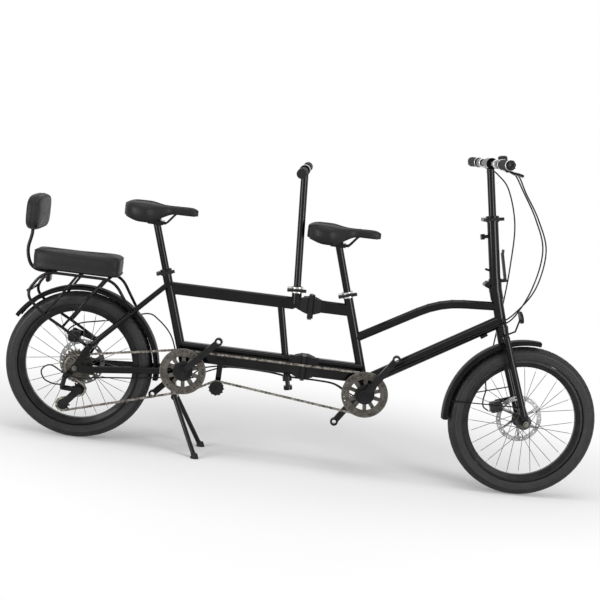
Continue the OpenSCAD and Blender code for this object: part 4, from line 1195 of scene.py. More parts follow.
@dataclass
class Cushion:
    """A padded form over foam, swollen by a short cloth simulation.

    Attributes:
        name: the piece's name.
        node: the solid it stands for.
        body: the body it rides on.
        finish: its cover.
        pressure: how hard the foam pushes out.
        cap: how far a point may move, in metres.
        fill: from 0, slack, to 1, tight; not used.
        draws: how often the drawn-tight cover evens out its swelling.
    """

    name: str
    node: str
    body: str
    finish: Leatherette
    pressure: float = 3.0
    cap: float = 0.006
    fill: float = 0.85
    draws: int = 24
    # Frames that the simulation runs, radius of the seams' cord in metres and the cover's settings
    FRAMES = 20
    CORD = 0.0011
    CLOTH = {"quality": 6, "mass": 0.25, "tension_stiffness": 22, "compression_stiffness": 22,
             "bending_stiffness": 3.0, "use_pressure": True}

    def rings(self) -> list[list[Vector]]:
        """The form's rings, from its underside to its top."""
        raise NotImplementedError

    def held(self, ring: int, place: int) -> float:
        """How firmly a point is held to its base, from 0 to 1."""
        raise NotImplementedError

    def seams(self, points: Sequence[Vector], count: int) -> list[tuple[list[Vector], bool]]:
        """Lines of the seams from the swollen points, each with True where it is closed."""
        raise NotImplementedError

    def swell(self, made: bpy.types.Object, holds: Sequence[float]) -> None:
        """Swells the cover over its foam and applies the result.

        Args:
            made: the cushion.
            holds: how firmly each point is held.
        """
        start = [v.co.copy() for v in made.data.vertices]
        group = made.vertex_groups.new(name="base")
        for k, hold in enumerate(holds):
            group.add([k], hold, "REPLACE")
        cloth = made.modifiers.new("cover", "CLOTH")
        for key, value in self.CLOTH.items():
            setattr(cloth.settings, key, value)
        cloth.settings.uniform_pressure_force = self.pressure
        cloth.settings.vertex_group_mass = group.name
        cloth.settings.effector_weights.gravity = 0.0
        cloth.collision_settings.use_collision = False
        cloth.point_cache.frame_end = self.FRAMES
        scene = bpy.context.scene
        for frame in range(1, self.FRAMES + 1):
            scene.frame_set(frame)
        swollen = made.evaluated_get(bpy.context.evaluated_depsgraph_get())
        ends = [v.co.copy() for v in swollen.data.vertices]
        made.modifiers.remove(cloth)
        made.vertex_groups.remove(group)
        scene.frame_set(1)
        moved = self.settled(made, np.array([end - rest for rest, end in zip(start, ends)]))
        for vertex, rest, way in zip(made.data.vertices, start, moved):
            vertex.co = rest + Vector(way)

    def settled(self, made: bpy.types.Object, moved: np.ndarray) -> np.ndarray:
        """Caps the swelling and evens it out, as a drawn-tight cover does.

        Args:
            made: the cushion.
            moved: how far each point moved.
        Returns:
            How far each point goes.
        """
        far = np.linalg.norm(moved, axis=1, keepdims=True)
        moved = moved * np.minimum(1.0, self.cap / np.maximum(far, 1e-9))
        edges = np.array([tuple(edge.vertices) for edge in made.data.edges])
        beside = np.bincount(edges.ravel(), minlength=len(moved))[:, None]
        for _ in range(self.draws):
            total = np.zeros_like(moved)
            np.add.at(total, edges[:, 0], moved[edges[:, 1]])
            np.add.at(total, edges[:, 1], moved[edges[:, 0]])
            moved = (moved + total / beside) / 2
        return moved

    def build(self, bench: Bench) -> list[bpy.types.Object]:
        """The cushion and its seams on their body.

        Args:
            bench: makes the meshes.
        Returns:
            The pieces.
        """
        rings = self.rings()
        count = len(rings[0])
        made = bench.piece(self.name, *bench.loft(rings), self.finish)
        self.swell(made, [self.held(i, k) for i in range(len(rings)) for k in range(count)])
        points = [v.co.copy() for v in made.data.vertices]
        heap = Heap()
        for line, closed in self.seams(points, count):
            heap.add(bench.sweep(line, self.CORD, 8, closed))
        smooth = made.modifiers.new("round", "SUBSURF")
        smooth.levels = 1
        smooth.render_levels = 1
        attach(made, self.body)
        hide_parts(self.node)
        pieces = [made]
        if heap.points:
            piping = bench.piece(self.name + "_piping", heap.points, heap.faces, SEAM_THREAD)
            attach(piping, self.body)
            pieces.append(piping)
        return pieces


@dataclass
class Saddle(Cushion):
    """A long-nosed saddle with a channel along its middle and drawn-in sides.

    Attributes:
        back: X of its back edge in millimetres.
        top: its highest point in millimetres.
        length: its length in millimetres.
        width: its width in millimetres.
    """

    back: float = 0.0
    top: float = 850.0
    length: float = 252.0
    width: float = 164.0
    # Where the rails are clamped, and places of the sections, as shares of the length from the back
    CLAMP = 0.438
    STATIONS = (0.004, 0.012, 0.025, 0.045, 0.07, 0.1, 0.135, 0.17, 0.21, 0.25, 0.29, 0.33, 0.37, 0.41,
                0.45, 0.49, 0.53, 0.57, 0.61, 0.65, 0.69, 0.73, 0.77, 0.81, 0.85, 0.885,
                0.915, 0.94, 0.96, 0.976, 0.988, 0.996)
    # A section, as shares of the half width and of the height from the skirt to the crown
    OUTLINE = ((-0.86, 0.0), (-0.91, 0.10), (-0.95, 0.22), (-0.985, 0.36), (-0.99, 0.5), (-0.985, 0.62),
               (-0.965, 0.73), (-0.925, 0.83), (-0.86, 0.905), (-0.75, 0.96), (-0.62, 0.99), (-0.48, 1.0),
               (-0.34, 0.998), (-0.22, 0.99), (-0.12, 0.975), (-0.06, 0.962), (0.0, 0.957), (0.06, 0.962),
               (0.12, 0.975), (0.22, 0.99), (0.34, 0.998), (0.48, 1.0), (0.62, 0.99), (0.75, 0.96),
               (0.86, 0.905), (0.925, 0.83), (0.965, 0.73), (0.985, 0.62), (0.99, 0.5), (0.985, 0.36),
               (0.95, 0.22), (0.91, 0.10), (0.86, 0.0), (0.66, 0.07), (0.45, 0.12), (0.2, 0.15),
               (0.0, 0.16), (-0.2, 0.15), (-0.45, 0.12), (-0.66, 0.07))
    # Points of a section: last and first held ones, those of the side seams and of the channel's seams
    HELD = (2, 30)
    SIDE_SEAMS = (6, 26)
    CHANNEL_SEAMS = (13, 19)
    CHANNEL_ROWS = range(6, 22)

    def half(self, t: float) -> float:
        """Half width at a place from 0 at the back to 1 at the nose."""
        if t < 0.30:
            wide = self.width / 2 * math.sqrt(max(0.0, 1 - ((0.30 - t) / 0.30) ** 2.6))
        elif t < 0.68:
            wide = self.width / 2 * (0.62 + 0.38 * math.cos(math.pi * (t - 0.30) / 0.38))
        else:
            wide = max(0.24 * self.width / 2, 20.0) * math.sqrt(max(0.0, 1 - ((t - 0.68) / 0.32) ** 4))
        return max(wide, 3.0)

    @staticmethod
    def ease(u: float) -> float:
        """A smooth step from 0 to 1."""
        v = min(1.0, max(0.0, u))
        return v * v * (3 - 2 * v)

    def crown(self, t: float) -> float:
        """Height of the top along the middle."""
        tail, nose = max(0.0, 0.13 - t) / 0.13, max(0.0, t - 0.9) / 0.1
        dip = 2.5 * math.sin(math.pi * min(1.0, max(0.0, t - 0.35) / 0.45))
        return self.top - 12 * tail ** 2 - 4 * self.ease((t - 0.3) / 0.25) - dip - 9 * nose ** 2

    def skirt(self, t: float) -> float:
        """Height of the lower edge, deepest under the wide part."""
        return self.top - 52 - 12 * self.ease(t / 0.25) + 32 * self.ease((t - 0.34) / 0.36)

    def under(self, t: float) -> float:
        """Height of the underside near the middle."""
        return self.skirt(t) + 0.13 * (self.crown(t) - self.skirt(t))

    def rings(self) -> list[list[Vector]]:
        """Cross-sections from the back to the nose."""
        made = []
        for t in self.STATIONS:
            wide, low, high = self.half(t) - 0.8, self.skirt(t), self.crown(t) - 0.8
            made.append([Vector((self.back + t * self.length, -a * wide, low + b * (high - low))) * MM
                         for a, b in self.OUTLINE])
        return made

    def held(self, ring: int, place: int) -> float:
        """The underside and the lower edge are held."""
        low = place <= self.HELD[0] or place >= self.HELD[1]
        return 1.0 if low or ring < 2 or ring > len(self.STATIONS) - 4 else 0.12

    def seams(self, points: Sequence[Vector], count: int) -> list[tuple[list[Vector], bool]]:
        """A seam along each side above the skirt, and along both edges of the middle channel."""
        rows = range(2, len(self.STATIONS) - 3)
        left, right = ([points[i * count + place] for i in rows] for place in self.SIDE_SEAMS)
        lines = [(left + right[::-1], True)]
        for place in self.CHANNEL_SEAMS:
            lines.append(([points[i * count + place] for i in self.CHANNEL_ROWS], False))
        return lines


class Pad(Cushion):
    """A cushion of stacked rings with piping round some of them."""

    # Points to a ring, radius of the piping in metres and the piped rings
    SIDES = 72
    CORD = 0.0018
    PIPED = (7, 14)

    def seams(self, points: Sequence[Vector], count: int) -> list[tuple[list[Vector], bool]]:
        """The piping's lines."""
        return [([points[ring * count + k] for k in range(count)], True) for ring in self.PIPED]


@dataclass
class BoxPad(Pad):
    """A boxed pad with rounded corners and piping round its top and bottom.

    Attributes:
        middle: its middle on the rack, in millimetres.
        half_x: half its length in millimetres.
        half_y: half its width in millimetres.
        base: height of its underside in millimetres.
        high: its height in millimetres.
        square: corner shape, smaller for squarer.
    """

    middle: tuple[float, float] = (-807.0, 0.0)
    half_x: float = 151.0
    half_y: float = 65.0
    base: float = 580.3
    high: float = 72.0
    square: float = 0.35
    # Height of each ring as a share of the pad's, and how far it is drawn in, in millimetres
    LEVELS = ((0.0, 60.0), (0.0, 44.0), (0.0, 28.0), (0.0, 14.0), (0.0, 6.0), (0.02, 3.0), (0.06, 1.4),
              (0.12, 1.0), (0.2, 1.8), (0.3, 2.0), (0.42, 1.2), (0.55, 0.8), (0.66, 0.9), (0.76, 1.4),
              (0.84, 2.2), (0.90, 4.5), (0.935, 9.0), (0.955, 16.0), (0.968, 25.0), (0.978, 36.0),
              (0.984, 48.0), (0.988, 60.0))

    def oval(self, inset: float, z: float) -> list[Vector]:
        """A rounded rectangle.

        Args:
            inset: how far it is drawn in, in millimetres.
            z: its height in millimetres.
        Returns:
            Its points in metres.
        """
        return [Vector((self.middle[0] + (self.half_x - inset) * signed_power(math.cos(a), self.square),
                        self.middle[1] + (self.half_y - inset) * signed_power(math.sin(a), self.square),
                        z)) * MM for a in turns(self.SIDES)]

    def rings(self) -> list[list[Vector]]:
        """Rings from the middle of the underside to the middle of the top."""
        return [self.oval(inset, self.base + level * self.high) for level, inset in self.LEVELS]

    def held(self, ring: int, place: int) -> float:
        """The underside is held, and the piped edges a little."""
        if ring <= 5:
            return 1.0
        return 0.7 if ring in (8, 14) else 0.08


@dataclass
class BackPad(Pad):
    """An upright oval pad with a rolled edge, piped round its middle and its front panel.

    Attributes:
        centre: its middle, in millimetres.
        tall: half its height in millimetres.
        wide: half its width in millimetres.
        square: corner shape, smaller for squarer.
    """

    centre: Point = (-959.0, 0.0, 770.0)
    tall: float = 61.0
    wide: float = 100.0
    square: float = 0.55
    PIPED = (9, 13)
    # Place of each ring along the bike from the pad's middle, and how far it is drawn in, in millimetres
    LEVELS = ((-26.5, 56.0), (-26.5, 40.0), (-26.3, 26.0), (-26.0, 15.0), (-24.5, 8.0), (-21.5, 3.8),
              (-16.0, 1.2), (-9.0, 0.6), (-4.0, 0.8), (0.0, 1.6), (4.0, 0.8), (9.0, 1.4), (13.0, 3.2),
              (17.0, 6.6), (20.0, 12.0), (22.5, 20.0), (24.2, 30.0), (25.2, 40.0), (25.8, 50.0),
              (26.0, 58.0))

    def oval(self, inset: float, z: float) -> list[Vector]:
        """A rounded outline across the bike at a distance along it."""
        return [Vector((self.centre[0] + z, (self.wide - inset) * signed_power(math.sin(a), self.square),
                        self.centre[2] - (self.tall - inset) * signed_power(math.cos(a), self.square))) * MM
                for a in turns(self.SIDES)]

    def rings(self) -> list[list[Vector]]:
        """Rings from the back of the pad to its front."""
        return [self.oval(inset, level) for level, inset in self.LEVELS]

    def held(self, ring: int, place: int) -> float:
        """The seam and the middle of the back are held."""
        return 1.0 if ring <= 3 or ring == 9 else 0.1


@dataclass
class Carrier:
    """The tube carrier over the rear wheel, with rounded loops, the backrest's stem and the lens holder.

    Attributes:
        name: the piece's name.
        half: half its width in millimetres.
        top: height of its rails in millimetres.
        tube: the tubes' radius in millimetres.
        strut: the struts' radius in millimetres.
        stem: radius of the backrest's stem in millimetres.
    """

    name: str = "carrier_tubes"
    half: float = 70.0
    top: float = 575.0
    tube: float = 5.2
    strut: float = 4.4
    stem: float = 6.0
    # The lens holder's X and Z, half depth, and rounding of its top and foot, in millimetres
    HOLDER = (-905.0, 548.0)
    HOLDER_DEPTH = 7.4
    HOLDER_ROUND = 8.0

    @staticmethod
    def rounded(corners: Sequence[Point], bend: float) -> list[Vector]:
        """A line through corners that are rounded off.

        Args:
            corners: its corners in millimetres.
            bend: how far before a corner it starts to turn, in millimetres.
        Returns:
            Its points in metres.
        """
        p = [Vector(c) for c in corners]
        line = [p[0]]
        for before, here, after in zip(p, p[1:], p[2:]):
            start = here + (before - here).normalized() * min(bend, (before - here).length * 0.48)
            end = here + (after - here).normalized() * min(bend, (after - here).length * 0.48)
            for k in range(9):
                u = k / 8
                line.append((1 - u) ** 2 * start + 2 * u * (1 - u) * here + u * u * end)
        return [q * MM for q in line + [p[-1]]]

    def holder(self) -> list[list[Vector]]:
        """Rings of the lens holder across the bike."""
        x, z = self.HOLDER
        end = self.HOLDER_ROUND
        rings = []
        for y, inset in ((-20.0, 3.0), (-19.2, 1.0), (-17.5, 0.0), (17.5, 0.0), (19.2, 1.0), (20.0, 3.0)):
            rings.append([Vector((x + (self.HOLDER_DEPTH - inset) * math.cos(a), y,
                                  z + math.copysign(end, math.sin(a)) + (end - inset) * math.sin(a))) * MM
                          for a in turns(32)])
        return rings

    def tubes(self) -> list[tuple[Sequence[Point], float, float]]:
        """Corners, radius and bend of each tube, in millimetres."""
        y, z, tube = self.half, self.top, self.tube
        made: list[tuple[Sequence[Point], float, float]] = []
        for s in (-1, 1):
            made += [(((-600, s * 57, 470), (-668, s * y, z), (-909, s * y, z), (-968, s * y, 490),
                       (-893, s * (y + 5), 427), (-826, s * (y + 8.5), 393), (-735, s * 79.4, 339)),
                      tube, 42.0),
                     (((-794, s * y, z), (-892, s * (y + 5), 428)), self.strut, 0.0),
                     (((-698, s * y, z), (-827, s * (y + 8), 394)), self.strut, 0.0),
                     (((-735, s * 73.9, 339), (-735, s * 87.5, 339)), 7.0, 0.0),
                     (((-600, s * 52.5, 467), (-600, s * 61, 467)), 6.0, 0.0)]
        made += [(((x, -y, high), (x, y, high)), tube, 0.0)
                 for x, high in ((-690, z), (-790, z), (-880, z), (-958, 504))]
        made.append((((-880, 0, z - 8), (-968, 0, z - 6), (-990, 0, 632), (-976, 0, 688), (-976, 0, 709.2)),
                     self.stem, 34.0))
        made.append((((-905, 0, 556), (-900, 0, z - 6)), tube, 0.0))
        return made

    def build(self, bench: Bench) -> list[bpy.types.Object]:
        """The carrier on the rear frame.

        Args:
            bench: makes the mesh.
        Returns:
            The one piece.
        """
        heap = Heap()
        for corners, radius, bend in self.tubes():
            heap.add(bench.sweep(self.rounded(corners, bend), radius * MM, 16))
        heap.add(bench.loft(self.holder()))
        made = bench.piece(self.name, heap.points, heap.faces, BLACK_PAINT)
        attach(made, "rear_frame")
        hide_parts("rear_rack")
        return [made]


@dataclass
class BarFurniture:
    """Lock rings on the grips, end plugs and the shifter's pod on the front handlebar.

    Attributes:
        half: half the bar's length in millimetres.
        grip: the grips' length in millimetres.
        round: the grips' radius in millimetres.
        pod: the pod's middle along the bar in millimetres.
    """

    half: float = 290.0
    grip: float = 120.0
    round: float = 16.5
    pod: float = -108.0
    # The pod's distance ahead of and above the bar and its half sizes in millimetres, and its roundings
    POD_AWAY = 17.0
    POD_HALF = (15.0, 17.0, 10.0)
    POD_SQUARE = 0.7
    POD_BULGE = 3.2

    @staticmethod
    def frame() -> Matrix:
        """The handlebar's frame, with its Y along the bar."""
        return (STEERED @ Matrix.Translation((0.002, 0.0, 0.484)) @ Matrix.Rotation(math.radians(7), 4, "Y")
                @ Matrix.Translation((0.0, 0.0, 0.408)))

    @staticmethod
    def band(y: float, half: float, bevel: float, radii: Point) -> list[tuple[float, float]]:
        """Profile of a ring with bevelled edges, in millimetres.

        Args:
            y: its middle along the bar.
            half: half its width.
            bevel: the bevel's width.
            radii: radius of its bore, of the bevel's foot and of its face.
        Returns:
            Place along the bar and radius of each corner.
        """
        bore, foot, face = radii
        return [(y - half, bore), (y - half, foot), (y - half + bevel, face), (y + half - bevel, face),
                (y + half, foot), (y + half, bore)]

    @staticmethod
    def turned(profile: Sequence[tuple[float, float]]) -> list[list[Vector]]:
        """Rings about the bar.

        Args:
            profile: place along the bar and radius of each ring, in millimetres.
        Returns:
            The rings in metres.
        """
        return [[Vector((r * math.cos(a), y, r * math.sin(a))) * MM for a in turns(40)] for y, r in profile]

    def shell(self) -> list[list[Vector]]:
        """Rings of the shifter's pod along the bar, in metres."""
        deep, long, tall = self.POD_HALF
        away, square, bulge = self.POD_AWAY, self.POD_SQUARE, self.POD_BULGE
        rings = []
        for u in (-1.0, -0.97, -0.88, -0.7, -0.4, 0.0, 0.4, 0.7, 0.88, 0.97, 1.0):
            size = (1 - abs(u) ** bulge) ** (1 / bulge) if abs(u) < 1 else 0.08
            rings.append([Vector((away + deep * size * signed_power(math.cos(a), square), self.pod + long * u,
                                  away + tall * size * signed_power(math.sin(a), square))) * MM
                          for a in turns(32)])
        return rings

    def build(self, bench: Bench) -> list[bpy.types.Object]:
        """The bright rings, and the black plugs and pod, on the bars.

        Args:
            bench: makes the meshes.
        Returns:
            The pieces.
        """
        bright, black = Heap(), Heap()
        inner, r = self.half - self.grip, self.round
        for s in (-1, 1):
            for y in (inner + 4.0, self.half - 4.0):
                band = self.band(y, 3.0, 0.8, (r - 1, r + 0.6, r + 1.4))
                bright.add(bench.loft(self.turned([(s * a, b) for a, b in band]), True))
            plug = ((self.half - 1, 12.5), (self.half + 3.2, 12.5), (self.half + 4.2, 11.5),
                    (self.half + 4.2, 7.0), (self.half + 3.2, 6.0))
            black.add(bench.loft(self.turned([(s * a, b) for a, b in plug])))
        for y, wide in ((self.pod, 9.0), (-self.pod, 7.0)):
            bright.add(bench.loft(self.turned(self.band(y, wide, 1.2, (11.5, 15.0, 16.0))), True))
        black.add(bench.loft(self.shell()))
        pieces = []
        for name, heap, finish in (("grip_lock_rings", bright, BARE_ALLOY),
                                   ("shifter_pod", black, CASTING_BLACK)):
            made = bench.piece(name, heap.points, heap.faces, finish)
            made.matrix_world = self.frame()
            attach(made, "bars")
            pieces.append(made)
        return pieces


@dataclass
class GuardLips:
    """The drawn-down side lips of a mudguard.

    Attributes:
        name: the piece's name.
        body: the body it rides on.
        frame: the wheel's frame, with its axle along Y.
        first: angle of its first end in degrees.
        last: angle of its last end in degrees.
        low: radius of the lips' edge in millimetres.
        high: radius where they leave the guard in millimetres.
        side: their inner face from the wheel's middle in millimetres.
        thick: their thickness in millimetres.
    """

    name: str
    body: str
    frame: Matrix
    first: float
    last: float
    low: float = 263.5
    high: float = 276.5
    side: float = 26.2
    thick: float = 1.3
    STEPS = 65

    def build(self, bench: Bench) -> list[bpy.types.Object]:
        """Both lips as one piece.

        Args:
            bench: makes the mesh.
        Returns:
            The one piece.
        """
        heap = Heap()
        outer = self.side + self.thick
        for s in (-1, 1):
            rings = []
            for turn in np.linspace(math.radians(self.first), math.radians(self.last), self.STEPS):
                way = Vector((math.cos(turn), 0.0, math.sin(turn)))
                rings.append([(way * r + Vector((0.0, s * y, 0.0))) * MM for r, y in (
                    (self.low, self.side), (self.low, outer), (self.high, outer), (self.high, self.side))])
            heap.add(bench.loft(rings))
        made = bench.piece(self.name, heap.points, heap.faces, MUDGUARD_BLACK)
        made.matrix_world = self.frame
        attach(made, self.body)
        return [made]


@dataclass
class LegTube:
    """The support leg's inner tube, which stays in the middle strut when the leg is drawn out.

    Attributes:
        name: the piece's name.
        head: the strut's top end in millimetres.
        slope: how far the strut runs forward for each millimetre down.
        high: height of the tube's top in millimetres.
        low: height of its foot, inside the leg, in millimetres.
        radius: its radius in millimetres.
    """

    name: str = "leg_inner_tube"
    head: Point = (-101.0, 0.0, 564.0)
    slope: float = 33.5 / 164.0
    high: float = 531.0
    low: float = 391.0
    radius: float = 7.5

    def build(self, bench: Bench) -> list[bpy.types.Object]:
        """The tube on the leg.

        Args:
            bench: makes the mesh.
        Returns:
            The one piece.
        """
        line = [Vector((self.head[0] + (self.head[2] - z) * self.slope, 0.0, z)) * MM
                for z in (self.high, self.low)]
        made = bench.piece(self.name, *bench.sweep(line, self.radius * MM, 24), BLACK_PAINT)
        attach(made, "leg")
        return [made]


@dataclass(frozen=True)
class HubMetal:
    """A wheel's black hub shell, bright spokes and steel rotor in one solid, told apart in the wheel's frame.

    Attributes:
        name: the material's name.
        place: the wheel's frame, with its axle along Y.
        rotor: the rotor's Y in metres.
        thick: half the rotor's thickness in metres.
        shell: radius in metres beyond which spokes start.
        nipples: radius in metres beyond which nipples start.
        marks: width of one turned mark on the rotor in metres.
    """

    name: str
    place: Matrix
    rotor: float
    thick: float = 0.0016
    shell: float = 0.0305
    nipples: float = 0.176
    marks: float = 0.0007

    def make(self) -> bpy.types.Material:
        """The material."""
        paint = Paintbox(self.name)
        back = self.place.inverted()
        moves = {"Vector": paint.place, "Location": back.to_translation()[:], "Rotation": back.to_euler()[:]}
        local = paint.node("ShaderNodeMapping", {}, moves, 0, Tone.VECTOR)
        x, y, z = paint.axes(local)
        radius = (x * x + z * z).root()
        disc = abs(y - self.rotor) < self.thick
        spoke = (radius > self.shell) * (1 - disc)
        nipple = radius > self.nipples
        mottle = paint.noise(70.0, 3.0)
        rings = (radius * (2 * math.pi / self.marks)).sine()
        black = paint.mix(mottle, (0.010, 0.010, 0.0105), (0.020, 0.020, 0.021))
        steel = paint.mix(mottle, (0.13, 0.13, 0.132), (0.24, 0.24, 0.243))
        drawn = paint.mix(mottle, (0.045, 0.045, 0.047), (0.10, 0.10, 0.105))
        wire = paint.mix(nipple, drawn, (0.4, 0.4, 0.41))
        colour = paint.mix(spoke, paint.mix(disc, black, steel), wire)
        metal = 0.35 + (disc + spoke) * 0.6
        rough = 0.3 + mottle * 0.14
        height = rings * disc + mottle * 0.3
        return paint.finish(Base_Color=colour, Metallic=metal, Roughness=rough,
                            Normal=paint.bump(height, 0.00004, 0.6))


LEGS = Banded("kickstand_paint", (0.010, 0.010, 0.010), (0.016, 0.016, 0.016), (0.7, 0.85), 0.0,
              Grain.CAST, 0.00003, 60.0, 0.05, other=(0.005, 0.005, 0.0053), other_rough=0.18, axis=2,
              edge=0.0165)
STOKER = Banded("stoker_bar_paint", *GLOSS_BLACK, 0.00002, 20.0, 0.006, 0.19, other=(0.008, 0.008, 0.0084),
                other_rough=0.72, axis=1, both=True, edge=0.1049, ribs=0.006)
GRIPS = Banded("grip_ribs", (0.010, 0.010, 0.0105), (0.018, 0.018, 0.0185), (0.6, 0.75), 0.0,
               Grain.CAST, 0.00006, 60.0, 0.02, other=(0.008, 0.008, 0.0084), other_rough=0.7, axis=1,
               both=True, edge=0.05, ribs=0.006)


@dataclass
class Dresser:
    """Gives every solid that shows its finish.

    Attributes:
        nodes: the solids by name.
    """

    nodes: dict[str, bpy.types.Object]

    def coats(self) -> list[tuple[Any, tuple[str, ...]]]:
        """Which solids have which finish."""
        return [
            (FRAME_PAINT, ("rear_main_frame", "front_main_frame")),
            (BLACK_PAINT, ("rear_stays", "fork", "handlepost", "bar_mast", "support_leg", "rear_seatpost",
                           "front_seatpost", "tensioner_bracket")),
            (MUDGUARD_BLACK, ("rear_mudguard", "front_mudguard")),
            (RIM_BLACK, ("rear_rim", "front_rim", "rear_cranks", "front_cranks")),
            (CASTING_BLACK, ("rear_caliper", "front_caliper", "handlepost_latch", "handlepost_qr",
                            "upper_fold_latch", "lower_fold_latch", "right_brake_lever", "left_brake_lever",
                            "rear_seat_qr", "front_seat_qr", "stoker_qr")),
            (SATIN_BLACK, ("derailleur", "derailleur_cage", "upper_jockey", "lower_jockey",
                           "tensioner_roller", "shifter", "front_reflector")),
            (BARE_ALLOY, ("front_collar", "rear_caliper_arm", "front_caliper_arm")),
            (CollarMetal("collar_metal"), ("rear_collars",)),
            (GUN_STEEL, ("cassette", "fold_pins", "front_axle", "rear_axle")),
            (RingMetal("rear_ring_metal", (-0.403, 0.290)), ("rear_chainrings",)),
            (RingMetal("front_ring_metal", (0.224, 0.290)), ("front_chainring",)),
            (LEGS, ("kickstand",)),
            (STOKER, ("stoker_bar",)),
            (GRIPS, ("handlebar_grips",)),
            (HubMetal("rear_hub_metal", REAR_WHEEL, 0.050), ("rear_hub",)),
            (HubMetal("front_hub_metal", FRONT_WHEEL, 0.038), ("front_hub",)),
        ]

    def dress(self, bench: Bench) -> None:
        """Assigns the finishes.

        Args:
            bench: makes the materials.
        """
        for finish, names in self.coats():
            for name in names:
                for slot in self.nodes[name].material_slots:
                    slot.material = bench.coat(finish)
            LOG.info("%s on %d solids", finish.name, len(names))


@dataclass
class SaddleFrame:
    """The rails and the moulded base under a saddle.

    Attributes:
        name: start of the pieces' names.
        body: the seat it rides on.
        clamp: the rails' middle in millimetres.
        saddle: the cushion above.
    """

    name: str
    body: str
    clamp: Point
    saddle: Saddle
    # The rails' radius in millimetres, and where they meet the saddle, as shares of its length
    RAIL = 3.4
    ENDS = (0.144, 0.716)
    # A section of the base, as shares of the saddle's half width and height
    SECTION = ((-0.84, -0.03), (-0.84, 0.05), (-0.45, 0.14), (0.0, 0.17), (0.45, 0.14), (0.84, 0.05),
               (0.84, -0.03), (0.78, -0.03), (0.76, 0.03), (0.45, 0.09), (0.0, 0.12), (-0.45, 0.09),
               (-0.76, 0.03), (-0.78, -0.03))

    def build(self, bench: Bench) -> list[bpy.types.Object]:
        """Two bent rails and the base shell.

        Args:
            bench: makes the meshes.
        Returns:
            The pieces.
        """
        x, _, z = self.clamp
        tail, nose = (self.saddle.under(t) for t in self.ENDS)
        heap = Heap()
        for side in (-1, 1):
            line = bench.smooth_line([(x - 74, side * 40, tail), (x - 60, side * 29, z + 2),
                                      (x - 42, side * 17, z - 6), (x, side * 17, z - 6),
                                      (x + 28, side * 17, z - 6), (x + 38, side * 16, z - 2),
                                      (x + 60, side * 11, z + 24), (x + 70, side * 9, nose)], 6)
            heap.add(bench.sweep([p * MM for p in line], self.RAIL * MM, 14))
        rails = bench.piece(self.name + "_rails", heap.points, heap.faces, CASTING_BLACK)
        rings = []
        for t in self.saddle.STATIONS[3:-3]:
            wide, low, high = self.saddle.half(t), self.saddle.skirt(t), self.saddle.crown(t)
            rise = high - low
            rings.append([Vector((self.saddle.back + t * self.saddle.length, a * wide, low + b * rise)) * MM
                          for a, b in self.SECTION])
        base = bench.piece(self.name + "_base", *bench.loft(rings), SATIN_BLACK)
        for piece in (rails, base):
            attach(piece, self.body)
        return [rails, base]


@dataclass
class Reflector:
    """A prismatic lens on a solid holder.

    Attributes:
        name: the piece's name.
        body: the body it rides on.
        finish: the lens.
        outline: half width and half height in millimetres.
        proud: how far it stands out, in millimetres.
        place: its frame, facing along +X.
    """

    name: str
    body: str
    finish: Lens
    outline: tuple[float, float]
    proud: float
    place: Matrix

    def build(self, bench: Bench) -> list[bpy.types.Object]:
        """The lens on its body.

        Args:
            bench: makes the mesh.
        Returns:
            The one piece.
        """
        wide, tall = self.outline
        rings = []
        for x, inset in ((0.0, 0.0), (0.5, 0.0), (0.8, 0.12), (0.95, 0.3), (1.0, 0.6), (1.0, 0.9)):
            drawn = inset * min(wide, tall) * 0.5
            rings.append([Vector((x * self.proud, (wide - drawn) * math.cos(a),
                                  (tall - drawn) * math.sin(a))) * MM for a in turns(40)])
        made = bench.piece(self.name, *bench.loft(rings), self.finish)
        made.matrix_world = self.place
        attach(made, self.body)
        return [made]


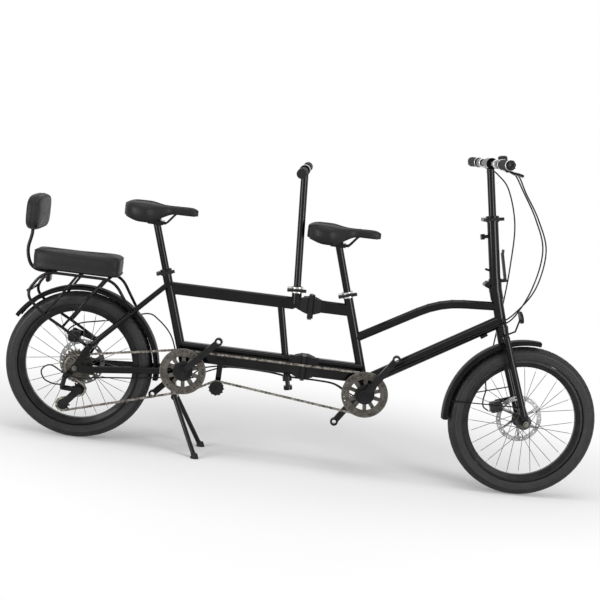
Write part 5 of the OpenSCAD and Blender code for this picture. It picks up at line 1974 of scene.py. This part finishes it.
@dataclass
class Studio:
    """A pale floor, soft lamps and the camera.

    Attributes:
        aim: the point in the middle of the view, in metres.
        azimuth: turn of the view round the bike, in degrees.
        elevation: height of the view above the horizon, in degrees.
        roll: turn of the picture, in degrees.
        distance: from the camera to the aim, in metres.
        lens: focal length in millimetres on a 36 mm frame.
        fill: the surround's strength for all other light.
        fade: distances in metres between which the floor fades to white.
    """

    aim: Point = (-0.0354, 0.0, 0.5773)
    azimuth: float = 2.0
    elevation: float = 8.5
    roll: float = 6.883
    distance: float = 4.95
    lens: float = 86.7
    fill: float = 0.32
    fade: tuple[float, float] = (0.3, 1.5)
    # Name, place, target, size and power of each lamp
    LAMPS = (("overhead", (0.0, -0.4, 3.2), (0.0, 0.0, 0.45), (3.2, 1.4), 44.0),
             ("left_panel", (-2.3, -2.0, 0.8), (-0.1, 0.0, 0.6), (1.2, 1.6), 58.0),
             ("right_panel", (2.3, -2.0, 0.8), (0.1, 0.0, 0.6), (1.2, 1.6), 58.0))

    def camera(self) -> bpy.types.Object:
        """The camera at the photograph's viewing angle."""
        a, e, r = (math.radians(v) for v in (self.azimuth, self.elevation, self.roll))
        back = Vector((math.sin(a) * math.cos(e), -math.cos(a) * math.cos(e), math.sin(e)))
        right = Vector((math.cos(a), math.sin(a), 0.0))
        up = back.cross(right)
        across = right * math.cos(r) + up * math.sin(r)
        upward = up * math.cos(r) - right * math.sin(r)
        place = Matrix((across, upward, back)).transposed().to_4x4()
        place.translation = Vector(self.aim) + back * self.distance
        data = bpy.data.cameras.new("camera")
        data.lens = self.lens
        data.sensor_width = 36.0
        made = placed("camera", data)
        made.matrix_world = place
        bpy.context.scene.camera = made
        return made

    @staticmethod
    def lamp(name: str, where: Point, towards: Point, size: tuple[float, float], watts: float) -> None:
        """One soft oblong lamp.

        Args:
            name: its name.
            where: its place in metres.
            towards: the point it faces.
            size: its width and height in metres.
            watts: its power.
        """
        data = bpy.data.lights.new(name, "AREA")
        data.shape = "RECTANGLE"
        data.size, data.size_y = size
        data.energy = watts
        made = placed(name, data)
        made.location = where
        made.rotation_euler = (Vector(towards) - Vector(where)).to_track_quat("-Z", "Y").to_euler()

    def world(self) -> None:
        """A white surround for the view and for reflections, and an even fill for the rest."""
        world = bpy.data.worlds.new("studio")
        bpy.context.scene.world = world
        paint = Paintbox(world.name, world)
        path = paint.node("ShaderNodeLightPath", {}, {}, "Is Camera Ray")
        rays = path.socket.node.outputs
        seen = path + Wire(paint, rays["Is Transmission Ray"]) + Wire(paint, rays["Is Glossy Ray"])
        levels = {"Value": seen, "To Min": self.fill, "To Max": 1.0}
        strength = paint.node("ShaderNodeMapRange", {}, levels, "Result")
        shade = paint.node("ShaderNodeBackground", {}, {"Color": WHITE, "Strength": strength}, 0)
        paint.close(shade, "ShaderNodeOutputWorld")

    def floor(self) -> bpy.types.Object:
        """A pale floor that keeps the shadow near the bike and fades to white."""
        paint = Paintbox("pale_floor")
        x, y, _ = paint.axes()
        away = (x * x * 0.5 + y * y).root().between(*self.fade)
        matt = paint.node("ShaderNodeBsdfDiffuse", {}, {"Color": (0.92, 0.92, 0.92, 1.0)}, 0)
        glow = paint.node("ShaderNodeEmission", {}, {"Color": WHITE, "Strength": 1.0}, 0)
        both = paint.node("ShaderNodeMixShader", {}, {0: away, 1: matt, 2: glow}, 0)
        mesh = bpy.data.meshes.new("floor")
        mesh.from_pydata([(-30, -30, 0), (30, -30, 0), (30, 30, 0), (-30, 30, 0)], [], [(0, 1, 2, 3)])
        mesh.materials.append(paint.close(both))
        made = placed("floor", mesh)
        made.location.z = -0.0005
        return made

    def build(self) -> None:
        """Sets the camera, lamps, surround and floor."""
        self.camera()
        self.world()
        self.floor()
        for lamp in self.LAMPS:
            self.lamp(*lamp)
        bpy.context.scene.view_settings.view_transform = "Standard"


class Maker(Protocol):
    """Anything that makes pieces at the bench."""

    def build(self, bench: Bench) -> list[bpy.types.Object]:
        """The pieces, on their bodies."""


def saddles() -> list[Maker]:
    """Both saddles, each with its frame.

    Returns:
        The rear ones, then the front ones.
    """
    made: list[Maker] = []
    for end, x in (("rear", -555.254), ("front", 71.746)):
        name, body = end + "_saddle", end + "_seat"
        cushion = Saddle(name + "_cover", name, body, SADDLE_VINYL, 2.5, 0.004, 0.9,
                         back=x - Saddle.CLAMP * Saddle.length)
        made += [cushion, SaddleFrame(name, body, (x, 0.0, 788.0), cushion)]
    return made


def lay(makers: Sequence[Maker], bench: Bench) -> None:
    """Makes pieces and logs their names.

    Args:
        makers: what makes them.
        bench: makes the meshes.
    """
    for maker in makers:
        for piece in maker.build(bench):
            LOG.info("made %s", piece.name)


def main() -> None:
    """Builds the bicycle's dressed pieces in order."""
    logging.basicConfig(level=logging.INFO, format="%(name)s: %(message)s")
    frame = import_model()
    bench = Bench()
    Studio().build()
    Dresser(frame["nodes"]).dress(bench)
    lay((Tyre("rear_tread", "rear_tyre", "rear_wheel", REAR_WHEEL),
         Tyre("front_tread", "front_tyre", "front_wheel", FRONT_WHEEL)), bench)
    timing, = TIMING.build(bench)
    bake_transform(timing)
    drive, caged, returning = DRIVE.build(bench)
    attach(drive, "rear_frame")
    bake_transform(caged)
    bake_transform(returning)
    lay(CABLES, bench)
    lay(saddles(), bench)
    rear_lens = Matrix.Translation((-0.9127, 0.0, 0.548)) @ Matrix.Rotation(math.pi, 4, "Z")
    front_lens = STEERED @ Matrix.Translation((0.076, 0.0, 0.353))
    lay((BoxPad("rack_cushion", "rack_pad", "rear_frame", PAD_VINYL, 3.5, 0.006, 0.8),
         BackPad("backrest_cushion", "backrest_pad", "rear_frame", PAD_VINYL, 3.0, 0.005, 0.85),
         Carrier(), LegTube(), BarFurniture(),
         GuardLips("rear_guard_lips", "rear_frame", REAR_WHEEL, -4.0, 147.0),
         GuardLips("front_guard_lips", "steering", FRONT_WHEEL, 67.0, 167.0),
         Reflector("front_lens", "steering", CLEAR_LENS, (18.5, 18.5), 1.6, front_lens),
         Reflector("rear_lens", "rear_frame", RED_LENS, (18.0, 7.0), 2.0, rear_lens)), bench)


if __name__ == "__main__":
    main()
